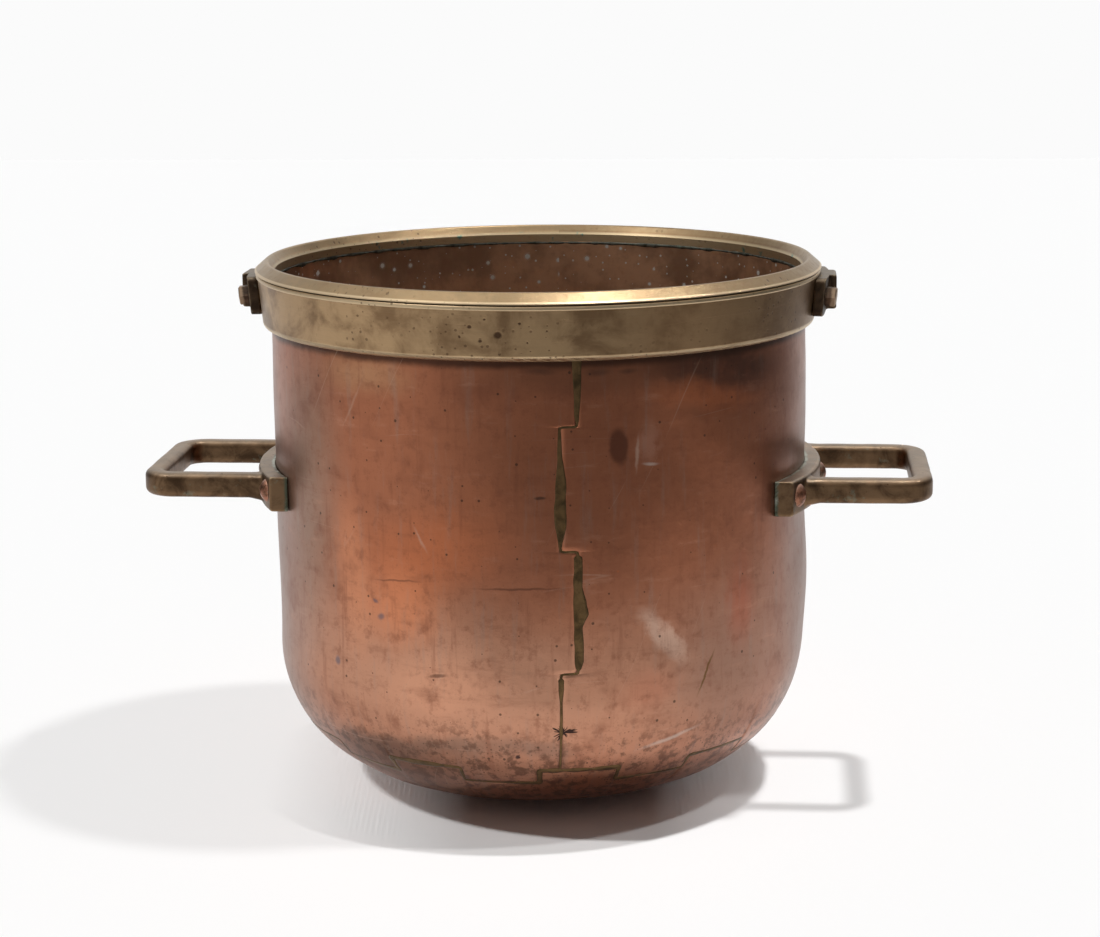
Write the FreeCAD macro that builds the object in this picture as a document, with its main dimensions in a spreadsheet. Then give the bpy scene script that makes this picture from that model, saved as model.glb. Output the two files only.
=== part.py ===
import FreeCAD, Part
import math
import os
import re

import Sketcher
from FreeCAD import Placement, Rotation, Vector

# Old copper kettle: a rolled copper wall and a dished copper bottom, joined by toothed brazed seams,
# a turned brass rim ring, two cast loop handles riveted to the wall and two bolted lugs on the ring.
# Origin at the middle of the flat it stands on, +Z up, handles along +X and -X, side seam towards -Y.

doc = FreeCAD.newDocument("copper_pot")
sizes = doc.addObject("Spreadsheet::Sheet", "sizes")

driving = [
    ("total_height", 448.0, "floor to the crest of the rim ring, before it is rounded"),
    ("body_radius", 225.0, "outside of the copper wall"),
    ("sheet_thickness", 2.2, "copper sheet"),
    ("corner_radius", 113.0, "outside radius where the wall turns under"),
    ("dome_radius", 620.0, "outside radius of the dished bottom"),
    ("rest_radius", 60.0, "flat worn on the bottom"),
    ("fit_gap", 0.1, "clearance between curved faces that sit on each other"),
    ("braze_width", 2.4, "width of a brazed joint"),
    ("side_seam_angle", 10.6, "side seam from the front, degrees towards the right handle"),
    ("side_tooth_depth", 13.8, "sideways step of the side seam"),
    ("side_tooth_length", 98.5, "height of one tooth of the side seam"),
    ("bottom_seam_height", 46.0, "bottom seam between the teeth, above the floor"),
    ("bottom_tooth_depth", 13.5, "upward step of the bottom seam"),
    ("bottom_teeth", 10, "teeth round the bottom seam"),
    ("bottom_tooth_angle", 13.3, "first bottom tooth from the front, degrees"),
    ("ring_height", 54.5, "rim ring, crest to lower edge"),
    ("ring_overhang", 1.3, "rim ring stands this far inside the copper"),
    ("ring_shoulder", 16.0, "crest down to the edge of the copper"),
    ("bore_bevel", 9.4, "height of the bevel inside the rim"),
    ("crest_offset", 2.5, "crest outside the copper"),
    ("crest_fillet", 2.2, "rounding of the crest"),
    ("lip_offset", 13.0, "lip outside the copper"),
    ("lip_drop", 9.0, "crest down to the lip"),
    ("lip_land", 0.8, "upright edge of the lip"),
    ("groove_offset", 10.4, "floor of the groove under the lip, outside the copper"),
    ("groove_height", 1.1, "groove under the lip"),
    ("bead_offset", 12.4, "bead outside the copper"),
    ("bead_height", 3.7, "bead under the groove"),
    ("bead_fillet", 1.3, "rounding of the bead"),
    ("band_top_offset", 11.0, "band outside the copper, at its top"),
    ("band_bottom_offset", 7.0, "band outside the copper, at its bottom"),
    ("band_fillet", 3.2, "rounding of the lower edge of the band"),
    ("solder_width", 1.1, "solder line under the ring"),
    ("solder_height", 2.4, "solder line under the ring"),
    ("flange_thickness", 14.0, "handle flange"),
    ("flange_height", 29.0, "handle flange"),
    ("flange_bottom", 246.0, "lower edge of the handle flange above the floor"),
    ("flange_width", 208.0, "handle flange from end to end"),
    ("flange_fillet", 1.8, "rounding of the flange edges"),
    ("bar_inset", 33.0, "middle of a handle bar, in from the end of the flange"),
    ("bar_width", 17.0, "handle bar seen from above"),
    ("bar_height", 20.5, "handle bar seen from the side"),
    ("bar_rounding", 5.5, "rounding of the bar"),
    ("bar_level", 261.7, "middle of the handle bar above the floor"),
    ("loop_reach", 106.0, "handle loop beyond the wall"),
    ("loop_corner", 20.0, "corner of the loop along the middle of the bar"),
    ("neck_reach", 13.0, "where the neck meets the bar, beyond the wall"),
    ("neck_spread", 5.0, "extra width at the root of the neck, each side"),
    ("neck_drop", 4.6, "extra depth at the root of the neck"),
    ("rivet_margin", 12.0, "outer rivets of a handle, in from the ends of its flange"),
    ("rivet_level", 261.5, "rivets above the floor"),
    ("rivet_radius", 4.5, "rivet shank"),
    ("rivet_head_radius", 9.5, "outer rivet head"),
    ("rivet_head_height", 5.0, "outer rivet head"),
    ("rivet_tail_radius", 8.5, "hammered inner rivet head"),
    ("rivet_tail_height", 3.0, "hammered inner rivet head"),
    ("lug_width", 84.0, "lug plate from end to end"),
    ("lug_height", 31.8, "lug plate"),
    ("lug_thickness", 9.0, "lug plate"),
    ("lug_drop", 15.0, "crest down to the top of the lug"),
    ("lug_corner", 5.0, "rounding of the corners of the lug plate"),
    ("block_width", 34.0, "block on the lug"),
    ("block_height", 28.8, "block on the lug"),
    ("block_offset", 25.5, "face of the block, outside the copper"),
    ("block_fillet", 2.0, "rounding of the edges of the block"),
    ("bolt_spread", 60.0, "lug bolts, middle to middle"),
    ("bolt_drop", 31.0, "crest down to the lug bolts"),
    ("bolt_radius", 4.0, "bolt shank"),
    ("bolt_flats", 15.0, "bolt head across flats"),
    ("bolt_head", 8.5, "height of the bolt head"),
    ("bolt_chamfer", 1.0, "edge of the bolt head"),
    ("bolt_depth", 6.0, "bolt end inside the band"),
]
for row, (alias, value, note) in enumerate(driving, start=1):
    sizes.set("A%d" % row, note)
    sizes.set("B%d" % row, str(value))
    sizes.setAlias("B%d" % row, alias)
doc.recompute()

# The reader works an expression of the sheet out as a number, for places and for first outlines.
reader = doc.addObject("App::FeaturePython", "reader")
reader.addProperty("App::PropertyFloat", "amount")


def named(formula):
    """A formula is written with bare aliases; this puts the sheet's name before each of them."""
    aliases = [alias for alias, value, note in driving]
    return re.sub("[a-z_]+", lambda word: ("sizes." if word[0] in aliases else "") + word[0], formula)


def worth(formula):
    reader.setExpression("amount", named(formula))
    reader.recompute()
    return reader.amount


copper_inside = "(body_radius - sheet_thickness)"
copper_top = "(total_height - ring_shoulder)"
ring_bottom = "(total_height - ring_height)"
lip_bottom = "(total_height - lip_drop - lip_land)"
bead_top = "(%s - groove_height)" % lip_bottom
band_top = "(%s - bead_height)" % bead_top
flange_inside = "(body_radius + fit_gap)"
flange_outside = "(body_radius + fit_gap + flange_thickness)"
lug_top = "(total_height - lug_drop)"
lug_bottom = "(%s - lug_height)" % lug_top
bolt_level = "(total_height - bolt_drop)"


def band_radius(level):
    """Outside radius of the tapered band at a height."""
    rise = "(%s - %s) / (%s - %s)" % (level, ring_bottom, band_top, ring_bottom)
    return "(body_radius + band_bottom_offset + (band_top_offset - band_bottom_offset) * %s)" % rise


def origin_feature(body, role):
    return next(feature for feature in body.Origin.OriginFeatures if feature.Role == role)


def new_body(label):
    body = doc.addObject("PartDesign::Body", label)
    body.Label = label
    return body


def new_sketch(body, name, role, offset="0"):
    sketch = body.newObject("Sketcher::SketchObject", name)
    sketch.AttachmentSupport = [(origin_feature(body, role), "")]
    sketch.MapMode = "FlatFace"
    sketch.setExpression("AttachmentOffset.Base.z", named(offset))
    return sketch


def bind(sketch, kind, where, formula):
    amount = worth(formula)
    index = sketch.addConstraint(Sketcher.Constraint(kind, *where, amount))
    sketch.setExpression("Constraints[%d]" % index, named(formula))


def place_point(sketch, where, across, up):
    bind(sketch, "DistanceX", where, across)
    bind(sketch, "DistanceY", where, up)


def join(sketch, kind, pairs):
    for pair in pairs:
        sketch.addConstraint(Sketcher.Constraint(kind, *pair))


def polygon(sketch, corners):
    """Closed outline of straight lines, each corner given by two formulas."""
    points = [Vector(worth(across), worth(up), 0) for across, up in corners]
    count = len(points)
    for i in range(count):
        sketch.addGeometry(Part.LineSegment(points[i], points[(i + 1) % count]), False)
    join(sketch, "Coincident", [(i, 2, (i + 1) % count, 1) for i in range(count)])
    for i, (across, up) in enumerate(corners):
        place_point(sketch, (i, 1), across, up)


def arc(centre, radius, start, end):
    circle = Part.Circle(centre, Vector(0, 0, 1), radius)
    return Part.ArcOfCircle(circle, start, end)


def rounded_rectangle(sketch, left, right, low, high, rounding):
    x0, x1, y0, y1, r = (worth(side) for side in (left, right, low, high, rounding))
    quarter = math.pi / 2
    sides = [
        (Vector(x0 + r, y0, 0), Vector(x1 - r, y0, 0), Vector(x1 - r, y0 + r, 0), -quarter),
        (Vector(x1, y0 + r, 0), Vector(x1, y1 - r, 0), Vector(x1 - r, y1 - r, 0), 0),
        (Vector(x1 - r, y1, 0), Vector(x0 + r, y1, 0), Vector(x0 + r, y1 - r, 0), quarter),
        (Vector(x0, y1 - r, 0), Vector(x0, y0 + r, 0), Vector(x0 + r, y0 + r, 0), 2 * quarter),
    ]
    for start, end, centre, angle in sides:
        sketch.addGeometry(Part.LineSegment(start, end), False)
        sketch.addGeometry(arc(centre, r, angle, angle + quarter), False)
    join(sketch, "Tangent", [(i, 2, (i + 1) % 8, 1) for i in range(8)])
    join(sketch, "Horizontal", [(0,), (4,)])
    join(sketch, "Vertical", [(2,), (6,)])
    join(sketch, "Equal", [(1, 3), (1, 5), (1, 7)])
    bind(sketch, "Radius", (1,), rounding)
    bind(sketch, "DistanceY", (0, 1), low)
    bind(sketch, "DistanceX", (2, 1), right)
    bind(sketch, "DistanceY", (4, 1), high)
    bind(sketch, "DistanceX", (6, 1), left)


def pad(body, name, sketch, length):
    feature = body.newObject("PartDesign::Pad", name)
    feature.Profile = sketch
    feature.setExpression("Length", named(length))
    return feature


def revolve(body, name, sketch, angle="360", midplane=False):
    feature = body.newObject("PartDesign::Revolution", name)
    feature.Profile = sketch
    feature.ReferenceAxis = (sketch, ["V_Axis"])
    feature.Midplane = midplane
    feature.setExpression("Angle", named(angle))
    return feature


def fillet(body, name, base, wanted, radius, kind="PartDesign::Fillet"):
    """Rounds or chamfers the edges of a feature for which wanted(edge) is true."""
    doc.recompute()
    names = ["Edge%d" % i for i, edge in enumerate(base.Shape.Edges, start=1) if wanted(edge)]
    if not names:
        raise ValueError("no edge for " + name)
    feature = body.newObject(kind, name)
    feature.Base = (base, names)
    feature.setExpression("Radius" if kind.endswith("Fillet") else "Size", named(radius))
    return feature


def circle_at(radius, level):
    """Test for a horizontal circular edge of a radius at a height."""
    r, z = worth(radius), worth(level)

    def wanted(edge):
        curve = edge.Curve
        round_edge = isinstance(curve, Part.Circle) and abs(curve.Radius - r) < 0.01
        return round_edge and abs(curve.Center.z - z) < 0.01
    return wanted


def radial(angle, radius, level, tilt=0.0):
    """Placement on the kettle's side whose own +Z points outwards, dipped by the tilt."""
    turned = math.radians(angle)
    where = Vector(radius * math.cos(turned), radius * math.sin(turned), level)
    return Placement(where, Rotation(Vector(0, 0, 1), angle) * Rotation(Vector(0, 1, 0), 90 + tilt))


def bore(body, name, placement, radius, length, start):
    """Round hole along a placement's +Z, from start over a length."""
    before = body.Tip
    doc.recompute()
    volume = before.Shape.Volume
    feature = body.newObject("PartDesign::SubtractiveCylinder", name)
    feature.setExpression("Radius", named(radius))
    feature.setExpression("Height", named(length))
    feature.Placement = placement * Placement(Vector(0, 0, worth(start)), Rotation())
    doc.recompute()
    if not feature.Shape.Volume < volume:
        raise ValueError(name + " cuts nothing")
    return feature


def boolean(kind, label, shapes):
    """Part::Cut takes a base and a tool, the other two take any number of shapes."""
    result = doc.addObject(kind, label)
    result.Label = label
    if kind == "Part::Cut":
        result.Base, result.Tool = shapes
    else:
        result.Shapes = shapes
    return result


# Copper sheet

def sheet_form():
    """The whole copper vessel in one thickness of sheet, before it is parted at its seams."""
    body = new_body("sheet_form")
    sketch = new_sketch(body, "sheet_profile", "XZ_Plane")
    outside = worth("body_radius")
    sheet = worth("sheet_thickness")
    corner = worth("corner_radius")
    dome = worth("dome_radius")
    rest = worth("rest_radius")
    top = worth(copper_top)
    dome_level = math.sqrt(dome ** 2 - rest ** 2)
    corner_level = dome_level - math.sqrt((dome - corner) ** 2 - (outside - corner) ** 2)
    turn = math.atan2(corner_level - dome_level, outside - corner)
    inner_rest = math.sqrt((dome - sheet) ** 2 - (dome_level - sheet) ** 2)
    dome_centre = Vector(0, dome_level, 0)
    corner_centre = Vector(outside - corner, corner_level, 0)
    rest_turn = math.atan2(-dome_level, rest)
    inner_turn = math.atan2(sheet - dome_level, inner_rest)
    geometry = [
        Part.LineSegment(Vector(outside, top, 0), Vector(outside, corner_level, 0)),
        arc(corner_centre, corner, turn, 0),
        arc(dome_centre, dome, rest_turn, turn),
        Part.LineSegment(Vector(rest, 0, 0), Vector(0, 0, 0)),
        Part.LineSegment(Vector(0, 0, 0), Vector(0, sheet, 0)),
        Part.LineSegment(Vector(0, sheet, 0), Vector(inner_rest, sheet, 0)),
        arc(dome_centre, dome - sheet, inner_turn, turn),
        arc(corner_centre, corner - sheet, turn, 0),
        Part.LineSegment(Vector(outside - sheet, corner_level, 0), Vector(outside - sheet, top, 0)),
        Part.LineSegment(Vector(outside - sheet, top, 0), Vector(outside, top, 0)),
    ]
    sketch.addGeometry(geometry, False)
    join(sketch, "Tangent", [(0, 2, 1, 2), (1, 1, 2, 2), (6, 2, 7, 1), (7, 2, 8, 1)])
    join(sketch, "Coincident", [(2, 1, 3, 1), (3, 2, 4, 1), (4, 2, 5, 1), (5, 2, 6, 1), (8, 2, 9, 1)])
    join(sketch, "Coincident", [(9, 2, 0, 1), (1, 3, 7, 3), (2, 3, 6, 3), (3, 2, -1, 1)])
    join(sketch, "PointOnObject", [(2, 3, -2), (4, 2, -2)])
    join(sketch, "Horizontal", [(3,), (5,), (9,)])
    join(sketch, "Vertical", [(0,), (8,)])
    place_point(sketch, (0, 1), "body_radius", copper_top)
    bind(sketch, "DistanceX", (8, 2), copper_inside)
    bind(sketch, "Radius", (1,), "corner_radius")
    bind(sketch, "Radius", (2,), "dome_radius")
    bind(sketch, "DistanceX", (2, 1), "rest_radius")
    bind(sketch, "DistanceY", (4, 2), "sheet_thickness")
    revolve(body, "sheet_turned", sketch)
    return body


def side_strip():
    """Path of the side seam: a strip that steps from side to side, pushed out through the front."""
    body = new_body("side_strip")
    sketch = new_sketch(body, "side_path", "XZ_Plane")
    span = worth("(%s - bottom_seam_height) / side_tooth_length" % copper_top)
    steps = int(span)
    left = [("0 - side_tooth_depth / 2 - braze_width / 2", "0")]
    right = [("0 - side_tooth_depth / 2 + braze_width / 2", "0")]
    for k in range(1, steps + 1):
        old, new = ("-", "+") if k % 2 else ("+", "-")
        level = "(bottom_seam_height + side_tooth_length * %d)" % k
        for edge, sign in ((left, "-"), (right, "+")):
            shift = "-" if sign == new else "+"
            for side in (old, new):
                across = "0 %s side_tooth_depth / 2 %s braze_width / 2" % (side, sign)
                edge.append((across, "%s %s braze_width / 2" % (level, shift)))
    last = "+" if steps % 2 else "-"
    for edge, sign in ((left, "-"), (right, "+")):
        edge.append(("0 %s side_tooth_depth / 2 %s braze_width / 2" % (last, sign), "total_height"))
    polygon(sketch, left + right[::-1])
    pad(body, "side_cut", sketch, "body_radius + corner_radius")
    body.Placement = Placement(Vector(), Rotation(Vector(0, 0, 1), worth("side_seam_angle")))
    return body


def crown(label, margin):
    """Everything below the toothed bottom seam, grown or shrunk by half a brazed joint."""
    under = 10
    past_copper = "body_radius * 1.1"
    inner, outer = "body_radius * 0.4", "body_radius * 1.05"
    body = new_body(label)
    disc = new_sketch(body, label + "_disc", "XY_Plane", "0 - %d" % under)
    disc.addGeometry(Part.Circle(Vector(), Vector(0, 0, 1), worth("body_radius")), False)
    join(disc, "Coincident", [(0, 3, -1, 1)])
    bind(disc, "Radius", (0,), past_copper)
    pad(body, label + "_floor", disc, "bottom_seam_height %s braze_width / 2 + %d" % (margin, under))
    tooth = new_sketch(body, label + "_tooth", "XY_Plane", "0 - %d" % under)
    half = "(%s * tan(90 / bottom_teeth) %s braze_width / 2)"
    polygon(tooth, [
        (inner, "0 - " + half % (inner, margin)),
        (outer, "0 - " + half % (outer, margin)),
        (outer, half % (outer, margin)),
        (inner, half % (inner, margin)),
    ])
    level = "bottom_seam_height + bottom_tooth_depth %s braze_width / 2 + %d" % (margin, under)
    raised = pad(body, label + "_raised", tooth, level)
    pattern = body.newObject("PartDesign::PolarPattern", label + "_teeth")
    pattern.Originals = [raised]
    pattern.Axis = (origin_feature(body, "Z_Axis"), [""])
    pattern.Angle = 360
    pattern.setExpression("Occurrences", "sizes.bottom_teeth")
    body.Tip = pattern
    turn = worth("bottom_tooth_angle") - 90
    body.Placement = Placement(Vector(), Rotation(Vector(0, 0, 1), turn))
    return body


def rivet_angles():
    """Directions of the three rivets of one handle from the handle's own axis."""
    swing = worth("asin((flange_width / 2 - rivet_margin) / %s)" % flange_outside)
    return {"front": -swing, "centre": 0.0, "rear": swing}


def rivet_bores():
    """Holes through the wall for the shanks of all rivets."""
    holes = []
    for facing in (0, 180):
        for angle in rivet_angles().values():
            hole = doc.addObject("Part::Cylinder", "rivet_bore")
            hole.setExpression("Radius", named("rivet_radius + fit_gap"))
            hole.setExpression("Height", named("flange_thickness + 4 * sheet_thickness"))
            seat = worth("body_radius - 2 * sheet_thickness")
            hole.Placement = radial(facing + angle, seat, worth("rivet_level"))
            holes.append(hole)
    return holes


# Rim ring

def bolt_tilt():
    """Dip of the tapered band's face, in degrees."""
    return worth("atan((band_top_offset - band_bottom_offset) / (%s - %s))" % (band_top, ring_bottom))


def bolt_places():
    """Seats of the lug bolts on the outside of the lug plates."""
    seat = worth("%s + fit_gap + lug_thickness" % band_radius(bolt_level))
    swing = math.degrees(math.asin(worth("bolt_spread") / 2 / seat))
    level = worth(bolt_level)
    places = {}
    for side, facing, front in (("right", 0, -1), ("left", 180, 1)):
        for end, turn in (("front", front), ("rear", -front)):
            places[side + "_" + end] = radial(facing + turn * swing, seat, level, bolt_tilt())
    return places


def rim_ring():
    """Turned ring: bevels inside and outside the crest, groove, bead and tapered band over the copper."""
    body = new_body("rim_ring")
    sketch = new_sketch(body, "ring_profile", "XZ_Plane")
    bore_radius = "(%s - ring_overhang)" % copper_inside
    lip = "(body_radius + lip_offset)"
    groove = "(body_radius + groove_offset)"
    bead = "(body_radius + bead_offset)"
    polygon(sketch, [
        (bore_radius, "total_height - bore_bevel"),
        ("body_radius + crest_offset", "total_height"),
        (lip, "total_height - lip_drop"),
        (lip, lip_bottom),
        (groove, lip_bottom),
        (groove, bead_top),
        (bead, bead_top),
        (bead, band_top),
        ("body_radius + band_top_offset", band_top),
        ("body_radius + band_bottom_offset", ring_bottom),
        (flange_inside, ring_bottom),
        (flange_inside, copper_top),
        (bore_radius, copper_top),
    ])
    turned = revolve(body, "ring_turned", sketch)
    crest = fillet(body, "crest_round", turned,
                   circle_at("body_radius + crest_offset", "total_height"), "crest_fillet")
    on_bead = [circle_at(bead, bead_top), circle_at(bead, band_top)]
    beaded = fillet(body, "bead_round", crest,
                    lambda edge: any(test(edge) for test in on_bead), "bead_fillet")
    fillet(body, "band_round", beaded,
           circle_at("body_radius + band_bottom_offset", ring_bottom), "band_fillet")
    for name, place in bolt_places().items():
        bore(body, "tapping_" + name, place, "bolt_radius + fit_gap",
             "lug_thickness + bolt_depth + 2 * fit_gap", "0 - lug_thickness - bolt_depth - fit_gap")
    return body


def rim_solder():
    """Line of solder in the corner between the copper and the ring's overhang."""
    body = new_body("rim_solder")
    sketch = new_sketch(body, "solder_profile", "XZ_Plane")
    against = copper_inside + " - fit_gap"
    polygon(sketch, [
        (against, copper_top),
        (against, copper_top + " - solder_height"),
        (against + " - solder_width * 0.8", copper_top + " - solder_height * 0.7"),
        (against + " - solder_width", copper_top + " - solder_height * 0.3"),
        (against + " - solder_width", copper_top),
    ])
    revolve(body, "solder_turned", sketch)
    return body


# Handles

def saddle(sketch):
    """Plan of the flange: two arcs about the kettle's axis, its ends cut parallel to the handle."""
    inside, outside = worth(flange_inside), worth(flange_outside)
    reach = worth("flange_width") / 2
    outer_turn, inner_turn = math.asin(reach / outside), math.asin(reach / inside)

    def at(radius, turn):
        return Vector(radius * math.cos(turn), radius * math.sin(turn), 0)
    sketch.addGeometry([
        arc(Vector(), outside, -outer_turn, outer_turn),
        Part.LineSegment(at(outside, outer_turn), at(inside, inner_turn)),
        arc(Vector(), inside, -inner_turn, inner_turn),
        Part.LineSegment(at(inside, -inner_turn), at(outside, -outer_turn)),
    ], False)
    join(sketch, "Coincident", [(0, 2, 1, 1), (1, 2, 2, 2), (2, 1, 3, 1), (3, 2, 0, 1)])
    join(sketch, "Coincident", [(0, 3, -1, 1), (2, 3, -1, 1)])
    join(sketch, "Horizontal", [(1,), (3,)])
    bind(sketch, "Radius", (0,), flange_outside)
    bind(sketch, "Radius", (2,), flange_inside)
    bind(sketch, "DistanceY", (0, 2), "flange_width / 2")
    bind(sketch, "DistanceY", (0, 1), "0 - flange_width / 2")


def loop_path(sketch, start):
    """Middle line of the loop: out along one bar, across and back along the other."""
    outer = "(body_radius + loop_reach - bar_width / 2)"
    x0, x1 = worth(start), worth(outer)
    y, r = worth("flange_width / 2 - bar_inset"), worth("loop_corner")
    quarter = math.pi / 2
    sketch.addGeometry([
        Part.LineSegment(Vector(x0, -y, 0), Vector(x1 - r, -y, 0)),
        arc(Vector(x1 - r, r - y, 0), r, -quarter, 0),
        Part.LineSegment(Vector(x1, r - y, 0), Vector(x1, y - r, 0)),
        arc(Vector(x1 - r, y - r, 0), r, 0, quarter),
        Part.LineSegment(Vector(x1 - r, y, 0), Vector(x0, y, 0)),
    ], False)
    join(sketch, "Tangent", [(i, 2, i + 1, 1) for i in range(4)])
    join(sketch, "Horizontal", [(0,), (4,)])
    join(sketch, "Vertical", [(2,)])
    join(sketch, "Equal", [(1, 3)])
    bind(sketch, "Radius", (1,), "loop_corner")
    place_point(sketch, (0, 1), start, "bar_inset - flange_width / 2")
    place_point(sketch, (4, 2), start, "flange_width / 2 - bar_inset")
    bind(sketch, "DistanceX", (2, 1), outer)


def neck_section(body, name, offset, share):
    """Section of a neck, from the bar's own at share 0 to the full root at share 1."""
    sketch = new_sketch(body, name, "YZ_Plane", offset)
    middle = "bar_inset - flange_width / 2"
    half = "(bar_width / 2 + neck_spread * %s)" % share
    rounded_rectangle(sketch, "%s - %s" % (middle, half), "%s + %s" % (middle, half),
                      "bar_level - bar_height / 2 - neck_drop * %s" % share,
                      "bar_level + bar_height / 2 + fit_gap * %s" % share, "bar_rounding")
    return sketch


def handle(label, facing):
    """One casting: flange round the wall, two necks that swell into it, and the loop."""
    body = new_body(label)
    plan = new_sketch(body, label + "_plan", "XY_Plane", "flange_bottom")
    saddle(plan)
    flange = pad(body, label + "_flange", plan, "flange_height")
    outside = worth(flange_outside)

    def on_outside(edge):
        return isinstance(edge.Curve, Part.Circle) and abs(edge.Curve.Radius - outside) < 0.01
    fillet(body, label + "_flange_round", flange, on_outside, "flange_fillet")
    meet = "(body_radius + neck_reach)"
    # the root is sunk in the flange, and always reaches past the flange's inner face
    inner_side = "(flange_width / 2 - bar_inset - bar_width / 2 - neck_spread)"
    inner_face = "sqrt(%s * %s - %s * %s)" % (flange_inside, flange_inside, inner_side, inner_side)
    sunk = "min(%s - flange_thickness * 1.7; %s - 10 * fit_gap)" % (meet, inner_face)
    bar = neck_section(body, label + "_bar", meet, "0")
    swell = neck_section(body, label + "_swell", meet + " - flange_thickness * 0.8", "0.45")
    root = neck_section(body, label + "_root", sunk, "1")
    neck = body.newObject("PartDesign::AdditiveLoft", label + "_neck")
    neck.Profile = root
    neck.Sections = [(swell, [""]), (bar, [""])]
    twin = body.newObject("PartDesign::Mirrored", label + "_neck_twin")
    twin.Originals = [neck]
    twin.MirrorPlane = (origin_feature(body, "XZ_Plane"), [""])
    body.Tip = twin
    path = new_sketch(body, label + "_path", "XY_Plane", "bar_level")
    loop_path(path, meet)
    start = neck_section(body, label + "_start", meet, "0")
    loop = body.newObject("PartDesign::AdditivePipe", label + "_loop")
    loop.Profile = start
    loop.Spine = (path, ["Edge%d" % i for i in range(1, 6)])
    bore(body, label + "_seat", Placement(), flange_inside, "total_height", "0")
    for name, angle in rivet_angles().items():
        place = radial(angle, outside, worth("rivet_level"))
        bore(body, label + "_hole_" + name, place, "rivet_radius + fit_gap",
             "2 * flange_thickness", "0 - 1.5 * flange_thickness")
    body.Placement = Placement(Vector(), Rotation(Vector(0, 0, 1), facing))
    return body


def rivet(label, angle):
    """Copper rivet: domed head on the flange, shank, and a tail hammered flat inside the wall."""
    body = new_body(label)
    sketch = new_sketch(body, label + "_profile", "XZ_Plane")
    wall_seat = "sqrt(%s * %s - rivet_tail_radius * rivet_tail_radius)" % (copper_inside, copper_inside)
    grip = "(%s - %s)" % (flange_outside, wall_seat)
    head, rise = worth("rivet_head_radius"), worth("rivet_head_height")
    tail, sink = worth("rivet_tail_radius"), worth("rivet_tail_height")
    shank, length = worth("rivet_radius"), worth(grip)
    dome = (head ** 2 + rise ** 2) / (2 * rise)
    cap = (tail ** 2 + sink ** 2) / (2 * sink)
    sketch.addGeometry([
        Part.LineSegment(Vector(0, -length - sink, 0), Vector(0, rise, 0)),
        arc(Vector(0, rise - dome, 0), dome, math.atan2(dome - rise, head), math.pi / 2),
        Part.LineSegment(Vector(head, 0, 0), Vector(shank, 0, 0)),
        Part.LineSegment(Vector(shank, 0, 0), Vector(shank, -length, 0)),
        Part.LineSegment(Vector(shank, -length, 0), Vector(tail, -length, 0)),
        arc(Vector(0, cap - length - sink, 0), cap, -math.pi / 2, math.atan2(sink - cap, tail)),
    ], False)
    join(sketch, "Coincident", [(0, 2, 1, 2), (1, 1, 2, 1), (2, 2, 3, 1)])
    join(sketch, "Coincident", [(3, 2, 4, 1), (4, 2, 5, 2), (5, 1, 0, 1)])
    join(sketch, "PointOnObject", [(0, 1, -2), (0, 2, -2), (1, 3, -2), (5, 3, -2)])
    place_point(sketch, (2, 1), "rivet_head_radius", "0")
    place_point(sketch, (3, 1), "rivet_radius", "0")
    place_point(sketch, (3, 2), "rivet_radius", "0 - " + grip)
    place_point(sketch, (4, 2), "rivet_tail_radius", "0 - " + grip)
    bind(sketch, "DistanceY", (0, 2), "rivet_head_height")
    bind(sketch, "DistanceY", (0, 1), "0 - %s - rivet_tail_height" % grip)
    revolve(body, label + "_turned", sketch)
    body.Placement = radial(angle, worth(flange_outside), worth("rivet_level"))
    return body


# Lugs and their bolts

def lug(label, facing):
    """Curved plate that follows the tapered band, with a square block in its middle."""
    body = new_body(label)
    section = new_sketch(body, label + "_section", "XZ_Plane")
    inner = [(band_radius(level) + " + fit_gap", level) for level in (lug_bottom, lug_top)]
    outer = [(radius + " + lug_thickness", level) for radius, level in inner]
    polygon(section, inner + outer[::-1])
    swing = "2 * asin(lug_width / 2 / %s)" % band_radius(lug_bottom)
    plate = revolve(body, label + "_plate", section, swing, midplane=True)

    def corner(edge):
        straight = isinstance(edge.Curve, Part.Line) or isinstance(edge.Curve, Part.LineSegment)
        start, end = edge.Vertexes[0].Point, edge.Vertexes[-1].Point
        return straight and abs(start.z - end.z) < 0.01 and abs(start.y) > 1
    rounded = fillet(body, label + "_corners", plate, corner, "lug_corner")
    foot = new_sketch(body, label + "_foot", "XY_Plane", lug_top + " - block_height")
    back, face = "body_radius + band_top_offset + lug_thickness / 3", "body_radius + block_offset"
    polygon(foot, [(back, "0 - block_width / 2"), (face, "0 - block_width / 2"),
                   (face, "block_width / 2"), (back, "block_width / 2")])
    block = pad(body, label + "_block", foot, "block_height")
    front = worth(face)

    def outer_edge(edge):
        return all(abs(point.X - front) < 0.01 for point in edge.Vertexes)
    fillet(body, label + "_block_round", block, outer_edge, "block_fillet")
    for name, place in bolt_places().items():
        if name.startswith("right"):
            bore(body, label + "_hole_" + name, place, "bolt_radius + fit_gap",
                 "3 * lug_thickness", "0 - 2 * lug_thickness")
    body.Placement = Placement(Vector(), Rotation(Vector(0, 0, 1), facing))
    return body


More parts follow.
